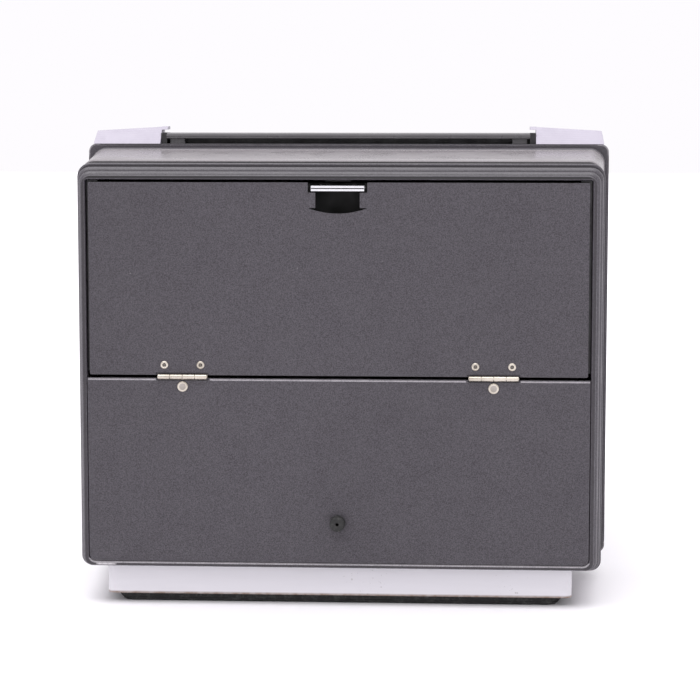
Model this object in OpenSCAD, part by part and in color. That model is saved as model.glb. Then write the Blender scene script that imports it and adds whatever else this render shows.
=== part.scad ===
// Overhead projector with an upright front case, a light box behind it and a projection head that
// stows over the stage on a post that pulls up out of the back of the case.
// X runs across, +Y points to the presenter's side and Z is up. The origin is on the floor under
// the middle of the whole projector. The drop door faces -Y.

/* [Front case] */
// Width across the lip behind the stepped front frame
lip_w = 420; // [416:1:422]
// Height of the top of the lip above the floor
lip_top = 353.3; // [352:0.1:354]
// Depth from the door face back to the rear flange
flange_depth = 132; // [128:1:134]
// Wall thickness of the moulded case
case_wall = 3; // [2.5:0.5:3]
// Height of the rubber strips under the base
foot_h = 7; // [6:0.5:8]

/* [Drop door] */
// Thickness of the drop door
door_t = 5; // [4:0.5:5]
// Gap between the drop door and the frame around it
door_gap = 2.4; // [2:0.1:2.6]
// Distance of each hinge from the middle
hinge_x = 123; // [110:1:135]

/* [Handle] */
// Height of the carrying bar
bar_t = 4.8; // [4:0.1:5]
// Free height under the carrying bar when it is down
bar_gap = 4.2; // [4:0.1:4.4]

/* [Light box] */
// Width of the light box and of the base pan
base_w = 373; // [371:1:374]
// Side of the square stage opening
stage_side = 254; // [240:1:256]
// Height of the stage surface above the floor
stage_top = 216; // [214:1:217]

/* [Projection head] */
// Height of the lens head housing
head_h = 48; // [44:1:50]
// Diameter of the objective lenses
lens_d = 76; // [70:1:78]

/* [Hidden] */
$fn = 48;
// Running clearances of turning and of sliding parts
fit = 0.05;
slide_fit = 0.15;
shell_dark = "#5b5760";
pale_metal = "#d8d5dc";
black_plastic = "#1e1d20";
rubber_black = "#171618";
bright_steel = "#b9b6b2";
clear_glass = "#cfe3e6";

// Front case, measured back from the door face
bumper_h = 8.5;
face_y = -250 + bumper_h;
step_d = 9;
lip_y = face_y + 3 * step_d;
bezel_d = 3 * step_d + 6;
bezel_y = face_y + bezel_d;
flange_y = face_y + flange_depth;
flange_t = 6;
flange_hw = 218;
flange_top = 364.8;
flange_bottom = 20;
tower_y = face_y + 166;
house_y = 240;
lip_hw = lip_w / 2;
frame_hw = lip_hw - 7;
open_hw = lip_hw - 10.8;
open_top = lip_top - 13.3;
pan_top = 31.5;
rail_top = 35.5;
corner_r = 5;
base_hw = base_w / 2;
pan_y = face_y + 11;
rear_hw = 212;
rear_top = 358;
rear_bottom = 24;
ledge_x = 190;

// Rubber strips and screws
foot_x = 169;
foot_ys = [-214, 215];
foot_r = 12;
screw_x = 170;
screw_ys = [-60, 228];
bumper_z = 68;

// Drop door and its hinges
door_hw = open_hw - door_gap;
door_top = open_top - door_gap + 0.4;
door_bottom = 185.65;
panel_top = 182.95;
panel_t = 4;
axis_y = face_y - 1;
axis_z = 184.3;
barrel_r = 2.1;
knuckle_w = 9.8;
leaf_t = 0.8;
leaf_hw = 2 * knuckle_w;
leaf_cut = leaf_hw + 1.2;
knuckle_gap = 0.5;
pin_r = 0.95;
door_rivet_r = 1.6;
panel_rivet_r = 2;
rivet_dx = 14.4;
rivet_z = 193.6;
panel_rivet_z = 176.5;

// Latch
latch_hw = 20.9;
latch_z = 331.3;
latch_h = 4.2;
latch_pin_y = face_y + 6.4;
latch_pin_z = 334.2;
notch_hw = 23.4;
cup_hw = 25;
cup_back = face_y + 22;

// Storage compartment
liner_hw = 203;
liner_back = -112;
liner_t = 2;
liner_top = 344;
liner_floor = 184;
liner_face = liner_back - liner_t;
peg_xs = [-130, 10];
peg_z = 262;
clip_x = 130;

// Handle
leg_x = 144;
bar_hw = 151.8;
cap_x = 157.5;
leg_y = -95;
bar_z = flange_top + bar_gap;

// Light box and optics
house_t = 2.5;
house_top = stage_top - 10;
stage_y = house_y - 12 - stage_side / 2;
optic_y = 101;
carrier_z = 112;
rail_z = 48;
rail_dy = 28;
carriage_top = rail_z + 5;
lamp_pitch = 44;
lamp_xs = [0, lamp_pitch];
lever_x = lamp_pitch / 2;
fan_z = 86;
fan_x = -183;
fan_half = 40;
lamp_door_y0 = 56;
lamp_door_y1 = 146;
lamp_door_z0 = 60;
lamp_door_z1 = 150;
door_axis_x = base_hw + 2.2;
door_axis_y = lamp_door_y1 + 1.5;

// Electrics
switch_x = -110;
switch_z = 120;
inlet_y = -35;
inlet_z = 60;
fuse_y = 0;
core_x = 48;
core_y0 = -190;
core_y1 = -126;

// Post, focus drive and head
guide_top = 335;
post_bottom = 40;
post_top = 345;
tooth_module = 1.5;
pinion_teeth = 12;
pitch_r = tooth_module * pinion_teeth / 2;
tooth_pitch = PI * tooth_module;
rack_y = tower_y + 28.5;
pinion_y = rack_y + pitch_r;
pinion_z = 262;
rack_teeth = 62;
rack_z0 = pinion_z - 46 * tooth_pitch;
carriage_z0 = 236;
head_z = 296;
head_top = head_z + head_h;
head_hw = 56;
head_y0 = optic_y - head_hw;
head_y1 = optic_y + head_hw;
lid_axis_y = head_y0 + 5;
lid_axis_z = head_top + 6;

// ---- shared shapes ----

// A box from one corner to the other
module block(x0, x1, y0, y1, z0, z1)
    translate([x0, y0, z0]) cube([x1 - x0, y1 - y0, z1 - z0]);

// An outline in X and Z, carried from y0 to y1
module along_y(y0, y1)
    translate([0, y1, 0]) rotate([90, 0, 0]) linear_extrude(y1 - y0) children();

// An outline in Y and Z, carried from x0 to x1
module along_x(x0, x1)
    translate([x0, 0, 0]) rotate([90, 0, 90]) linear_extrude(x1 - x0) children();

// A rounded rectangle centred across, from z0 to z1
module round_rect(hw, z0, z1, r) {
    translate([-hw + r, z0]) square([2 * (hw - r), z1 - z0]);
    translate([-hw, z0 + r]) square([2 * hw, z1 - z0 - 2 * r]);
    for (x = [-hw + r, hw - r], z = [z0 + r, z1 - r])
        translate([x, z]) circle(r);
}

// A box with rounded upright edges
module round_box(x0, x1, y0, y1, z0, z1, r)
    translate([(x0 + x1) / 2, 0, z0])
        linear_extrude(z1 - z0) round_rect((x1 - x0) / 2, y0, y1, r);

module rod_x(x0, x1, y, z, r)
    translate([x0, y, z]) rotate([0, 90, 0]) cylinder(h = x1 - x0, r = r);

module rod_y(x, y0, y1, z, r)
    translate([x, y1, z]) rotate([90, 0, 0]) cylinder(h = y1 - y0, r = r);

module rod_z(x, y, z0, z1, r)
    translate([x, y, z0]) cylinder(h = z1 - z0, r = r);

// The space that the base pan takes out of the bottom of the front case
module pan_notch()
    block(-base_hw - 0.5, base_hw + 0.5, face_y + 9, tower_y + 1, 0, pan_top);

// A lens with two bulging faces of radius bulge_r
module lens(d, thick, bulge_r)
    intersection() {
        translate([0, 0, thick / 2 - bulge_r]) sphere(r = bulge_r, $fn = 96);
        translate([0, 0, bulge_r - thick / 2]) sphere(r = bulge_r, $fn = 96);
        cylinder(h = thick, d = d, center = true);
    }

// ---- base ----

module base_pan() color(pale_metal) difference() {
    round_box(-base_hw, base_hw, pan_y, house_y, foot_h, pan_top, 6);
    round_box(-base_hw + 2, base_hw - 2, pan_y + 2, house_y - 2, foot_h + 2, pan_top + 1, 4);
    for (x = [-foot_x, foot_x], y = foot_ys) rod_z(x, y, 0, 20, 2.1);
    // air slots under the lamps
    for (i = [0:6]) block(-70, 70, 60 + i * 13, 65 + i * 13, 0, foot_h + 3);
}

// Two rubber strips across the base, one under its front and one under its back
module rubber_feet() color(rubber_black) for (y = foot_ys) difference() {
    half = foot_x + foot_r;
    union() {
        round_box(-half, half, y - foot_r, y + foot_r, 1, foot_h, foot_r - 1);
        round_box(1 - half, half - 1, y - foot_r + 1, y + foot_r - 1, 0, 1, foot_r - 2);
    }
    for (x = [-foot_x, foot_x]) translate([x, y, -1]) {
        cylinder(h = foot_h + 2, r = 2.1);
        cylinder(h = 4, r = 4.4);
    }
}

module pan_screw(shank) {
    cylinder(h = 2.4, r = 3.9);
    translate([0, 0, 2.4]) cylinder(h = shank, r = 2);
}

module case_screws() color(bright_steel) {
    for (x = [-foot_x, foot_x], y = foot_ys) translate([x, y, 0.6]) pan_screw(11);
    for (x = [-screw_x, screw_x], y = screw_ys)
        translate([x, y, stage_top - 0.2]) rotate([180, 0, 0]) pan_screw(5);
}

// ---- front case ----

module front_bezel() color(shell_dark) difference() {
    union() {
        difference() {
            union() {
                along_y(face_y, face_y + step_d)
                    round_rect(frame_hw, pan_top, lip_top - 9.8, 8);
                along_y(face_y + step_d, face_y + 2 * step_d)
                    round_rect(lip_hw - 4, pan_top - 2, lip_top - 6.3, 9);
                along_y(face_y + 2 * step_d, lip_y)
                    round_rect(lip_hw - 1.5, pan_top - 4, lip_top - 3, 10);
                along_y(lip_y, bezel_y)
                    round_rect(lip_hw, pan_top - 5.5, lip_top, 11);
            }
            along_y(face_y - 1, bezel_y + 1) {
                round_rect(open_hw, rail_top, open_top, corner_r + 0.4);
                round_rect(open_hw, 100, open_top, 1);
            }
        }
        // ledges behind the lower panel and behind the drop door
        for (s = [-1, 1]) scale([s, 1, 1]) {
            block(ledge_x, open_hw + 1, face_y + panel_t, face_y + 8, rail_top - 1, panel_top - 2.2);
            block(ledge_x, open_hw + 1, face_y + door_t + 0.6, face_y + 9, 188, open_top + 1);
        }
    }
    pan_notch();
}

module lower_panel() color(shell_dark) difference() {
    union() {
        along_y(face_y, face_y + panel_t) round_rect(open_hw - 0.4, rail_top + 0.4, 120, corner_r);
        block(-open_hw + 0.4, open_hw - 0.4, face_y, face_y + panel_t, 100, panel_top);
        block(-ledge_x + 0.5, ledge_x - 0.5, face_y + panel_t, bezel_y - 0.2, panel_top - 2,
            panel_top);
        for (x = [-150, -75, 75, 150])
            block(x - 1.5, x + 1.5, face_y + panel_t, face_y + 14, rail_top + 6, panel_top - 2);
    }
    for (x = [-hinge_x, hinge_x]) {
        block(x - leaf_cut, x + leaf_cut, face_y - 1, axis_y + 2.3, axis_z - 3.1, panel_top + 1);
        block(x - leaf_cut, x + leaf_cut, face_y + panel_t, face_y + 5.4, 178, panel_top + 1);
        rod_y(x, face_y - 1, face_y + panel_t + 1, panel_rivet_z, panel_rivet_r + fit);
    }
    rod_y(0, face_y - 1, face_y + panel_t + 1, bumper_z, 2.5 + fit);
}

module panel_bumper() color(rubber_black) translate([0, face_y, bumper_z]) rotate([90, 0, 0])
    rotate_extrude() polygon([
        [1.2, -panel_t - 2], [3.6, -panel_t - 2], [3.6, -panel_t], [2.5, -panel_t], [2.5, 0],
        [6.2, 0], [6, bumper_h - 1.2], [5, bumper_h], [1.2, bumper_h]
    ]);

// The tapered sleeve between the lip and the rear flange
module sleeve_shape(inset) hull() {
    along_y(bezel_y - (inset > 0 ? 1 : 0), bezel_y + 1)
        round_rect(lip_hw - 3 - inset, pan_top - 3.5 + inset, lip_top - 1.3 - inset, 10 - inset / 2);
    along_y(flange_y - 1, flange_y + (inset > 0 ? 1 : 0))
        round_rect(214 - inset, 22 + inset, 361 - inset, 12 - inset / 2);
}

module tower_sleeve() color(shell_dark) difference() {
    sleeve_shape(0);
    sleeve_shape(case_wall);
    pan_notch();
}

module back_shell() color(shell_dark) difference() {
    union() {
        along_y(flange_y, flange_y + flange_t)
            round_rect(flange_hw, flange_bottom, flange_top, 12);
        along_y(flange_y + flange_t, tower_y)
            round_rect(rear_hw, rear_bottom, rear_top, 12);
    }
    difference() {
        along_y(flange_y - 1, tower_y - case_wall) round_rect(rear_hw - case_wall,
            rear_bottom + case_wall, rear_top - case_wall, 10);
        // guide blocks of the carrying bar's legs
        for (x = [-leg_x, leg_x])
            block(x - 10, x + 10, leg_y - 9, leg_y + 9, 349, rear_top);
    }
    leg_slots();
    // air way into the light box
    for (x = [-110, 30]) block(x, x + 80, tower_y - 10, tower_y + 1, 60, 150);
    pan_notch();
}

// ---- drop door ----

// The finger opening under the latch, with its shallow round scoop
module finger_opening() {
    scoop_r = 64.4;
    translate([-17.5, 318]) square([35, 13]);
    intersection() {
        translate([0, 313.6 + scoop_r]) circle(scoop_r, $fn = 180);
        translate([-30, 313]) square([60, 5.1]);
    }
}

module drop_door() color(shell_dark) difference() {
    union() {
        along_y(face_y, face_y + door_t) round_rect(door_hw, door_bottom, door_top, 1.2);
        difference() {
            block(-182, 182, face_y + door_t, face_y + 11, 206, 306);
            block(-179, 179, face_y + door_t, face_y + 12, 209, 303);
        }
        for (x = [-60, 60])
            block(x - 1.2, x + 1.2, face_y + door_t, face_y + 10, 209, 303);
    }
    along_y(face_y - 1, face_y + door_t + 1) finger_opening();
    block(-notch_hw, notch_hw, face_y - 1, face_y + door_t + 1, 330.1, door_top + 1);
    for (x = [-hinge_x, hinge_x]) {
        block(x - leaf_cut, x + leaf_cut, face_y - 1, axis_y + 2.3, door_bottom - 1,
            axis_z + 3.2);
        for (dx = [-rivet_dx, rivet_dx])
            rod_y(x + dx, face_y - 1, face_y + door_t + 1, rivet_z, door_rivet_r + fit);
    }
}

// Two of the four knuckles of each hinge, first is 0 or 1
module knuckles(x, first) difference() {
    union()
        for (i = [first, first + 2]) {
            x0 = x + (i - 2) * knuckle_w + knuckle_gap / 2;
            x1 = x0 + knuckle_w - knuckle_gap;
            rod_x(x0, x1, axis_y, axis_z, barrel_r);
            z0 = first == 0 ? panel_top : door_bottom - leaf_t;
            block(x0, x1, axis_y, axis_y + 3, z0, z0 + leaf_t);
        }
    rod_x(x - 30, x + 30, axis_y, axis_z, pin_r + fit);
}

module hinge_leaves_fixed() color(bright_steel) difference() {
    for (x = [-hinge_x, hinge_x]) {
        knuckles(x, 0);
        block(x - leaf_hw, x + leaf_hw, axis_y + 2.4, face_y + panel_t + leaf_t, panel_top,
            panel_top + leaf_t);
        block(x - leaf_hw, x + leaf_hw, face_y + panel_t, face_y + panel_t + leaf_t, 170,
            panel_top + leaf_t);
    }
    for (x = [-hinge_x, hinge_x])
        rod_y(x, face_y, face_y + 10, panel_rivet_z, panel_rivet_r + fit);
}

module hinge_leaves_door() color(bright_steel) difference() {
    for (x = [-hinge_x, hinge_x]) {
        knuckles(x, 1);
        block(x - leaf_hw, x + leaf_hw, axis_y + 2.4, face_y + door_t + leaf_t, door_bottom - leaf_t,
            door_bottom);
        block(x - leaf_hw, x + leaf_hw, face_y + door_t, face_y + door_t + leaf_t,
            door_bottom - leaf_t, 200);
    }
    for (x = [-hinge_x, hinge_x], dx = [-rivet_dx, rivet_dx])
        rod_y(x + dx, face_y, face_y + 10, rivet_z, door_rivet_r + fit);
}

module hinge_pins() color(bright_steel)
    for (x = [-hinge_x, hinge_x])
        rod_x(x - leaf_hw - 0.2, x + leaf_hw + 0.2, axis_y, axis_z, pin_r);

// A rivet through a plate of thickness t, head_r wide on the outside, with a dimple in its head
module rivet(head_r, shank_r, head_h, t) rotate([90, 0, 0]) rotate_extrude() polygon([
    [0, -t - 1], [shank_r * 1.4, -t - 1], [shank_r * 1.4, -t], [shank_r, -t], [shank_r, 0],
    [head_r, 0], [head_r * 0.92, head_h * 0.6], [head_r * 0.6, head_h],
    [shank_r * 0.5, head_h], [shank_r * 0.4, head_h * 0.4], [0, head_h * 0.4]
]);

module door_rivets() color(bright_steel)
    for (x = [-hinge_x, hinge_x], dx = [-rivet_dx, rivet_dx])
        translate([x + dx, face_y, rivet_z]) rivet(3.15, door_rivet_r, 0.9, door_t + leaf_t);

module panel_rivets() color(bright_steel)
    for (x = [-hinge_x, hinge_x])
        translate([x, face_y, panel_rivet_z]) rivet(4.3, panel_rivet_r, 1, panel_t + leaf_t);

// ---- latch ----

module latch_housing() color(black_plastic) difference() {
    block(-cup_hw, cup_hw, face_y + door_t, cup_back, 311, 337);
    block(-latch_hw - 0.45, latch_hw + 0.45, face_y, cup_back - 1.5, 313, 338);
    rod_x(-30, 30, latch_pin_y, latch_pin_z, 1);
}

module latch_bar() color("silver") difference() {
    union() {
        // front bar with a groove along it, web, pivot barrel and the hook behind
        block(-latch_hw, latch_hw, face_y + 0.4, face_y + 3.4, latch_z, latch_z + latch_h);
        block(-latch_hw, latch_hw, face_y + 3.4, latch_pin_y, latch_pin_z - 1.2,
            latch_pin_z + 1.2);
        rod_x(-latch_hw, latch_hw, latch_pin_y, latch_pin_z, 2.2);
        block(-6, 6, latch_pin_y, face_y + 17, latch_pin_z - 1, latch_pin_z + 1);
        block(-6, 6, face_y + 14.5, face_y + 17, latch_pin_z - 1, 336.6);
    }
    block(-latch_hw - 1, latch_hw + 1, face_y, face_y + 1.2, latch_z + 1.7, latch_z + 2.5);
    rod_x(-30, 30, latch_pin_y, latch_pin_z, 1 + fit);
    for (s = [-1, 1])
        block(s * 13 - 3.2, s * 13 + 3.2, latch_pin_y - 2.6, latch_pin_y + 4, latch_pin_z - 4,
            latch_pin_z + 4);
}

module latch_pin() color(bright_steel)
    rod_x(-cup_hw, cup_hw, latch_pin_y, latch_pin_z, 1);

// Two torsion springs round the pin, each as six touching turns
module latch_springs() color(bright_steel)
    for (s = [-1, 1]) translate([s * 13 - 2.4, latch_pin_y, latch_pin_z]) rotate([0, 90, 0])
        difference() {
            rotate_extrude() for (i = [0:5]) translate([1.65, 0.4 + i * 0.75]) circle(0.45, $fn = 16);
            cylinder(h = 30, r = 1 + fit, center = true);
        }

// The sprung catch plate under the top rail of the frame
module latch_keeper() color(bright_steel) {
    block(-10, 10, face_y + 11, face_y + 30, open_top - 0.9, open_top);
    rod_x(-10, 10, face_y + 11, open_top - 0.9, 0.9);
}

// ---- storage compartment ----

module compartment_liner() color(black_plastic) difference() {
    block(-liner_hw, liner_hw, bezel_y, liner_back, liner_floor, liner_top);
    block(-liner_hw + liner_t, liner_hw - liner_t, bezel_y - 1, liner_face,
        liner_floor + liner_t, liner_top - liner_t);
}

module cord_wrap_pegs() color(black_plastic)
    for (x = peg_xs) {
        rod_y(x, liner_face - 62, liner_face, peg_z, 11);
        rod_y(x, liner_face - 66, liner_face - 62, peg_z, 19);
    }

module spare_lamp_clip() color(bright_steel) difference() {
    union() {
        rod_y(clip_x, liner_face - 24, liner_face - 8, peg_z, 14);
        block(clip_x - 12, clip_x + 12, liner_face - 12, liner_face, peg_z - 12, peg_z + 12);
    }
    rod_y(clip_x, liner_face - 48, liner_face - 2, peg_z, 12.5);
    block(clip_x - 8, clip_x + 8, liner_face - 48, liner_face - 8, peg_z, peg_z + 20);
}

// A halogen lamp with its dish, base at the origin, looking along +Z
module dish() rotate_extrude() polygon([
    [5.5, 0], [8, 0], [13, 8], [17, 16], [20, 25], [19, 25], [16, 16.5], [12, 9], [7, 2], [5.5, 2]
]);

module bulb() rotate_extrude() polygon([
    [0, -3], [4.6, -3], [4.6, 5], [5, 6], [5, 15], [3.6, 18.5], [1.2, 20], [0, 20]
]);

module spare_lamp() color(clear_glass)
    translate([clip_x, liner_face - 26, peg_z]) rotate([90, 0, 0]) {
        dish();
        translate([0, 0, -20]) cylinder(h = 20.5, r = 8);
        bulb();
    }

// ---- handle ----

// The slots that the carrying bar's legs slide in
module leg_slots() for (x = [-leg_x, leg_x])
    block(x - 6 - slide_fit, x + 6 + slide_fit, leg_y - 5 - slide_fit, leg_y + 5 + slide_fit, 340,
        rear_top + 3);

// The well that the carrying bar lies in: its floor, back wall and end blocks
module handle_well() color(black_plastic) difference() {
    well_y = flange_y + flange_t;
    union() {
        block(-cap_x, cap_x, well_y, leg_y + 13, rear_top, rear_top + 2);
        block(-cap_x, cap_x, leg_y + 10, leg_y + 13, rear_top, bar_z + 1);
        for (s = [-1, 1]) scale([s, 1, 1])
            block(bar_hw + 0.6, cap_x, well_y, leg_y + 13, rear_top, bar_z + bar_t);
    }
    leg_slots();
}

// One end cap, tall at its inner end and leaning back from its front edge
module end_cap(side) scale([side, 1, 1]) difference() {
    union() {
        along_y(flange_y, flange_y + flange_t)
            polygon([[cap_x, flange_top], [214, flange_top], [212.5, 375.5], [cap_x, 378.6]]);
        along_y(flange_y + flange_t, leg_y + 17)
            polygon([[cap_x, rear_top], [207, rear_top], [210, 360], [212.5, 375.5],
                [cap_x, 378.6]]);
        along_y(flange_y + 3, leg_y + 14)
            polygon([[cap_x - 5, 376], [cap_x + 1, 375], [cap_x + 1, 378.9], [cap_x - 5, 379]]);
    }
    translate([150, flange_y, flange_top]) rotate([-45, 0, 0])
        translate([0, -20, 0]) cube([80, 20, 30]);
}

module handle_caps() color(pale_metal) for (s = [-1, 1]) end_cap(s);

module handle_bar() color(black_plastic) {
    round_box(-bar_hw, bar_hw, leg_y - 9, leg_y + 9, bar_z, bar_z + bar_t, 2);
    for (x = [-leg_x, leg_x]) {
        block(x - 6, x + 6, leg_y - 5, leg_y + 5, 322, bar_z);
        block(x - 9, x + 9, leg_y - 8, leg_y + 8, 318, 322);
    }
}

// ---- light box ----

module light_box() color(shell_dark) difference() {
    union() {
        round_box(-base_hw, base_hw, tower_y + 20, house_y, pan_top, house_top, 10);
        block(-base_hw, base_hw, tower_y, tower_y + 60, pan_top, house_top);
    }
    round_box(-base_hw + house_t, base_hw - house_t, tower_y + 20, house_y - house_t,
        pan_top - 1, house_top + 1, 8);
    block(-base_hw + house_t, base_hw - house_t, tower_y - 1, tower_y + 61, pan_top - 1,
        house_top + 1);
    // changer slot, switch, fan outlet, access opening, inlet, fuse and air slots
    block(lever_x - lamp_pitch - 4, lever_x + 4, house_y - 5, house_y + 1, rail_z - 3.6,
        rail_z + 3.6);
    block(switch_x - 14, switch_x + 14, house_y - 5, house_y + 1, switch_z - 9, switch_z + 9);
    rod_x(-base_hw - 1, -base_hw + 5, optic_y, fan_z, 37);
    block(base_hw - 5, base_hw + 1, lamp_door_y0, lamp_door_y1, lamp_door_z0, lamp_door_z1);
    block(base_hw - 5, base_hw + 1, inlet_y - 14, inlet_y + 14, inlet_z - 12, inlet_z + 12);
    rod_x(base_hw - 5, base_hw + 1, fuse_y, inlet_z, 6 + fit);
    for (i = [0:7]) block(60, 150, house_y - 5, house_y + 1, 100 + i * 9, 104 + i * 9);
}

module stage_frame() color(shell_dark) difference() {
    union() {
        round_box(-base_hw, base_hw, tower_y + 20, house_y, house_top, stage_top, 10);
        block(-base_hw, base_hw, tower_y, tower_y + 60, house_top, stage_top);
    }
    translate([0, stage_y, 0]) {
        square_hole(stage_side / 2, house_top - 1, stage_top + 1);
        square_hole(stage_side / 2 + 2, house_top + 2, stage_top + 1);
        square_hole(stage_side / 2 + 4, house_top + 6, stage_top + 1);
    }
    block(-18, 18, tower_y - 1, tower_y + 31, house_top - 1, stage_top + 1);
    for (x = [-screw_x, screw_x], y = screw_ys) {
        rod_z(x, y, house_top - 1, stage_top + 1, 2 + fit);
        rod_z(x, y, stage_top - 2.6, stage_top + 1, 4);
    }
}

module square_hole(half, z0, z1) block(-half, half, -half, half, z0, z1);

module stage_glass() color(clear_glass) translate([0, stage_y, 0])
    square_hole(stage_side / 2 + 3.8, house_top + 6, stage_top);

module fresnel_lens() color(clear_glass) translate([0, stage_y, 0])
    square_hole(stage_side / 2 + 1.8, house_top + 2, house_top + 4.4);

module lens_carrier() color(bright_steel) difference() {
    union() {
        block(-90, 90, optic_y - 45, optic_y + 45, carrier_z, carrier_z + 3);
        for (x = [-90, 87], y = [optic_y - 45, optic_y + 35])
            block(x, x + 3, y, y + 10, foot_h + 2, carrier_z);
        rod_z(0, optic_y, carrier_z, carrier_z + 12, 38);
        for (y = [optic_y - 34, optic_y + 31])
            block(-30, 30, y, y + 3, carrier_z - 7, carrier_z);
    }
    rod_z(0, optic_y, carrier_z - 1, carrier_z + 5, 30);
    rod_z(0, optic_y, carrier_z + 5, carrier_z + 13, 35 + fit);
    block(-26, 26, optic_y - 31.5, optic_y + 31.5, carrier_z - 5, carrier_z - 1.9);
}

module condenser_lens() color(clear_glass)
    translate([0, optic_y, carrier_z + 15]) lens(70, 20, 80);

module heat_glass() color(clear_glass)
    block(-25, 25, optic_y - 31.4, optic_y + 31.4, carrier_z - 5, carrier_z - 2);

module carriage_rails() color(bright_steel)
    for (y = [optic_y - rail_dy, optic_y + rail_dy]) {
        rod_x(-78, 82, y, rail_z, 3);
        for (x = [-81, 78]) block(x, x + 3, y - 6, y + 6, foot_h + 2, rail_z + 6);
    }

module lamp_carriage() color(bright_steel) difference() {
    block(-26, 70, optic_y - 36, optic_y + 36, rail_z - 5, carriage_top);
    for (s = [-1, 1]) rod_x(-30, 80, optic_y + s * rail_dy, rail_z, 3 + fit);
    rod_y(lever_x, optic_y + 36, optic_y + 40, rail_z, 3);
}

module lamp_sockets() color("ivory")
    for (x = lamp_xs) difference() {
        round_box(x - 12, x + 12, optic_y - 12, optic_y + 12, carriage_top, carriage_top + 9, 3);
        rod_z(x, optic_y, carriage_top + 2, carriage_top + 10, 5.6);
    }

module lamps() color(clear_glass)
    for (x = lamp_xs) translate([x, optic_y, carriage_top + 9]) {
        bulb();
        translate([0, 0, -7]) cylinder(h = 8, r = 4.6);
    }

module lamp_reflectors() color("silver")
    for (x = lamp_xs) translate([x, optic_y, carriage_top + 9]) dish();

module changer_lever() color(black_plastic) {
    rod_y(lever_x, optic_y + 36, house_y + 2, rail_z, 3);
    translate([lever_x, house_y + 2, rail_z]) rotate([-90, 0, 0]) rotate_extrude()
        polygon([[0, 0], [6, 0], [6.6, 1], [6.6, 7], [5.6, 8], [0, 8]]);
}

// ---- electrics ----

module switch_bezel() color(black_plastic) translate([switch_x, house_y, switch_z]) difference() {
    union() {
        block(-16, 16, 0, 2, -12, 12);
        block(-13.9, 13.9, -22, 0, -8.9, 8.9);
    }
    block(-12.2, 12.2, -10, 3, -7.6, 7.6);
}

module switch_rocker() color("darkred")
    translate([switch_x, house_y - 3, switch_z]) rotate([-7, 0, 0]) along_x(-12, 12) intersection() {
        circle(7.2);
        union() {
            translate([-4, -8]) square([8.4, 16]);
            circle(4);
        }
    }

// The three-blade mains inlet and the fuse carrier beside it
module mains_inlet() color(black_plastic) translate([base_hw, 0, inlet_z]) {
    translate([0, inlet_y, 0]) difference() {
        union() {
            block(0, 2, -17, 17, -15, 15);
            block(-26, 0, -13.8, 13.8, -11.8, 11.8);
        }
        difference() {
            block(-16, 3, -11.5, 11.5, -8.5, 8.5);
            for (y = [-7, 0, 7])
                block(-17, -2, y - 1.2, y + 1.2, y == 0 ? 1 : -4, y == 0 ? 5 : 0);
        }
    }
    rod_x(-24, 0, fuse_y, 0, 6);
    rod_x(0, 5, fuse_y, 0, 8);
}

module transformer_core() color("dimgray") difference() {
    union() {
        block(-core_x, core_x, core_y0, core_y1, foot_h + 2, foot_h + 82);
        block(-core_x - 12, core_x + 12, core_y0, core_y1, foot_h + 2, foot_h + 5);
    }
    for (s = [-1, 1])
        block(s * 24 - 8, s * 24 + 8, core_y0 - 1, core_y1 + 1, foot_h + 18, foot_h + 66);
}

module transformer_winding() color("darkorange") difference() {
    round_box(-31.6, 31.6, core_y0 - 14, core_y1 + 14, foot_h + 18.5, foot_h + 65.5, 12);
    block(-16, 16, core_y0, core_y1, 0, 200);
}

module fan_frame() color(black_plastic) {
    difference() {
        block(fan_x, fan_x + 25, optic_y - fan_half, optic_y + fan_half, fan_z - fan_half,
            fan_z + fan_half);
        rod_x(fan_x - 1, fan_x + 26, optic_y, fan_z, 37.5);
        for (y = [-35, 35], z = [-35, 35]) rod_x(fan_x - 1, fan_x + 26, optic_y + y, fan_z + z, 2);
    }
    // motor seat and its spindle on four struts at the inner side
    rod_x(fan_x + 21, fan_x + 25, optic_y, fan_z, 15);
    rod_x(fan_x + 8, fan_x + 21, optic_y, fan_z, 1.5);
    for (s = [-1, 1]) {
        block(fan_x + 22, fan_x + 25, optic_y - 1.5, optic_y + 1.5, fan_z + s * 26 - 12.5,
            fan_z + s * 26 + 12.5);
        block(fan_x + 22, fan_x + 25, optic_y + s * 26 - 12.5, optic_y + s * 26 + 12.5,
            fan_z - 1.5, fan_z + 1.5);
    }
}

module fan_rotor() color("dimgray") translate([fan_x + 3, optic_y, fan_z]) rotate([0, 90, 0])
    difference() {
        union() {
            cylinder(h = 17, r = 15);
            for (i = [0:6]) rotate([0, 0, i * 360 / 7]) translate([14, 0, 8.5])
                rotate([38, 0, 0]) translate([0, -0.8, -9]) cube([21.5, 1.6, 18]);
        }
        translate([0, 0, 4]) cylinder(h = 14, r = 1.5 + fit);
    }

module exhaust_grille() color(black_plastic) translate([-base_hw, optic_y, fan_z]) {
    difference() {
        block(-2, 0, -42, 42, -42, 42);
        rod_x(-3, 1, 0, 0, 36);
    }
    for (i = [-4:4]) let (half = sqrt(36.5 * 36.5 - 64 * i * i))
        block(-2, 0, -half, half, i * 8 - 1.2, i * 8 + 1.2);
    block(-2, 0, -1.2, 1.2, -36.5, 36.5);
}

// ---- lamp access door ----

module lamp_door() color(shell_dark) difference() {
    union() {
        block(base_hw - house_t, base_hw, lamp_door_y0 + 0.5, lamp_door_y1 - 0.5,
            lamp_door_z0 + 0.5, lamp_door_z1 - 0.5);
        block(base_hw, base_hw + 1.2, lamp_door_y0 + 0.5, door_axis_y, lamp_door_z0 + 8,
            lamp_door_z1 - 8);
        rod_z(door_axis_x, door_axis_y, lamp_door_z0 + 8, lamp_door_z1 - 8, 2);
        // finger tab
        block(base_hw + 1.2, base_hw + 6, lamp_door_y0 + 4, lamp_door_y0 + 6.5, 95, 115);
    }
    rod_z(door_axis_x, door_axis_y, 0, 300, 1 + fit);
}

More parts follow.
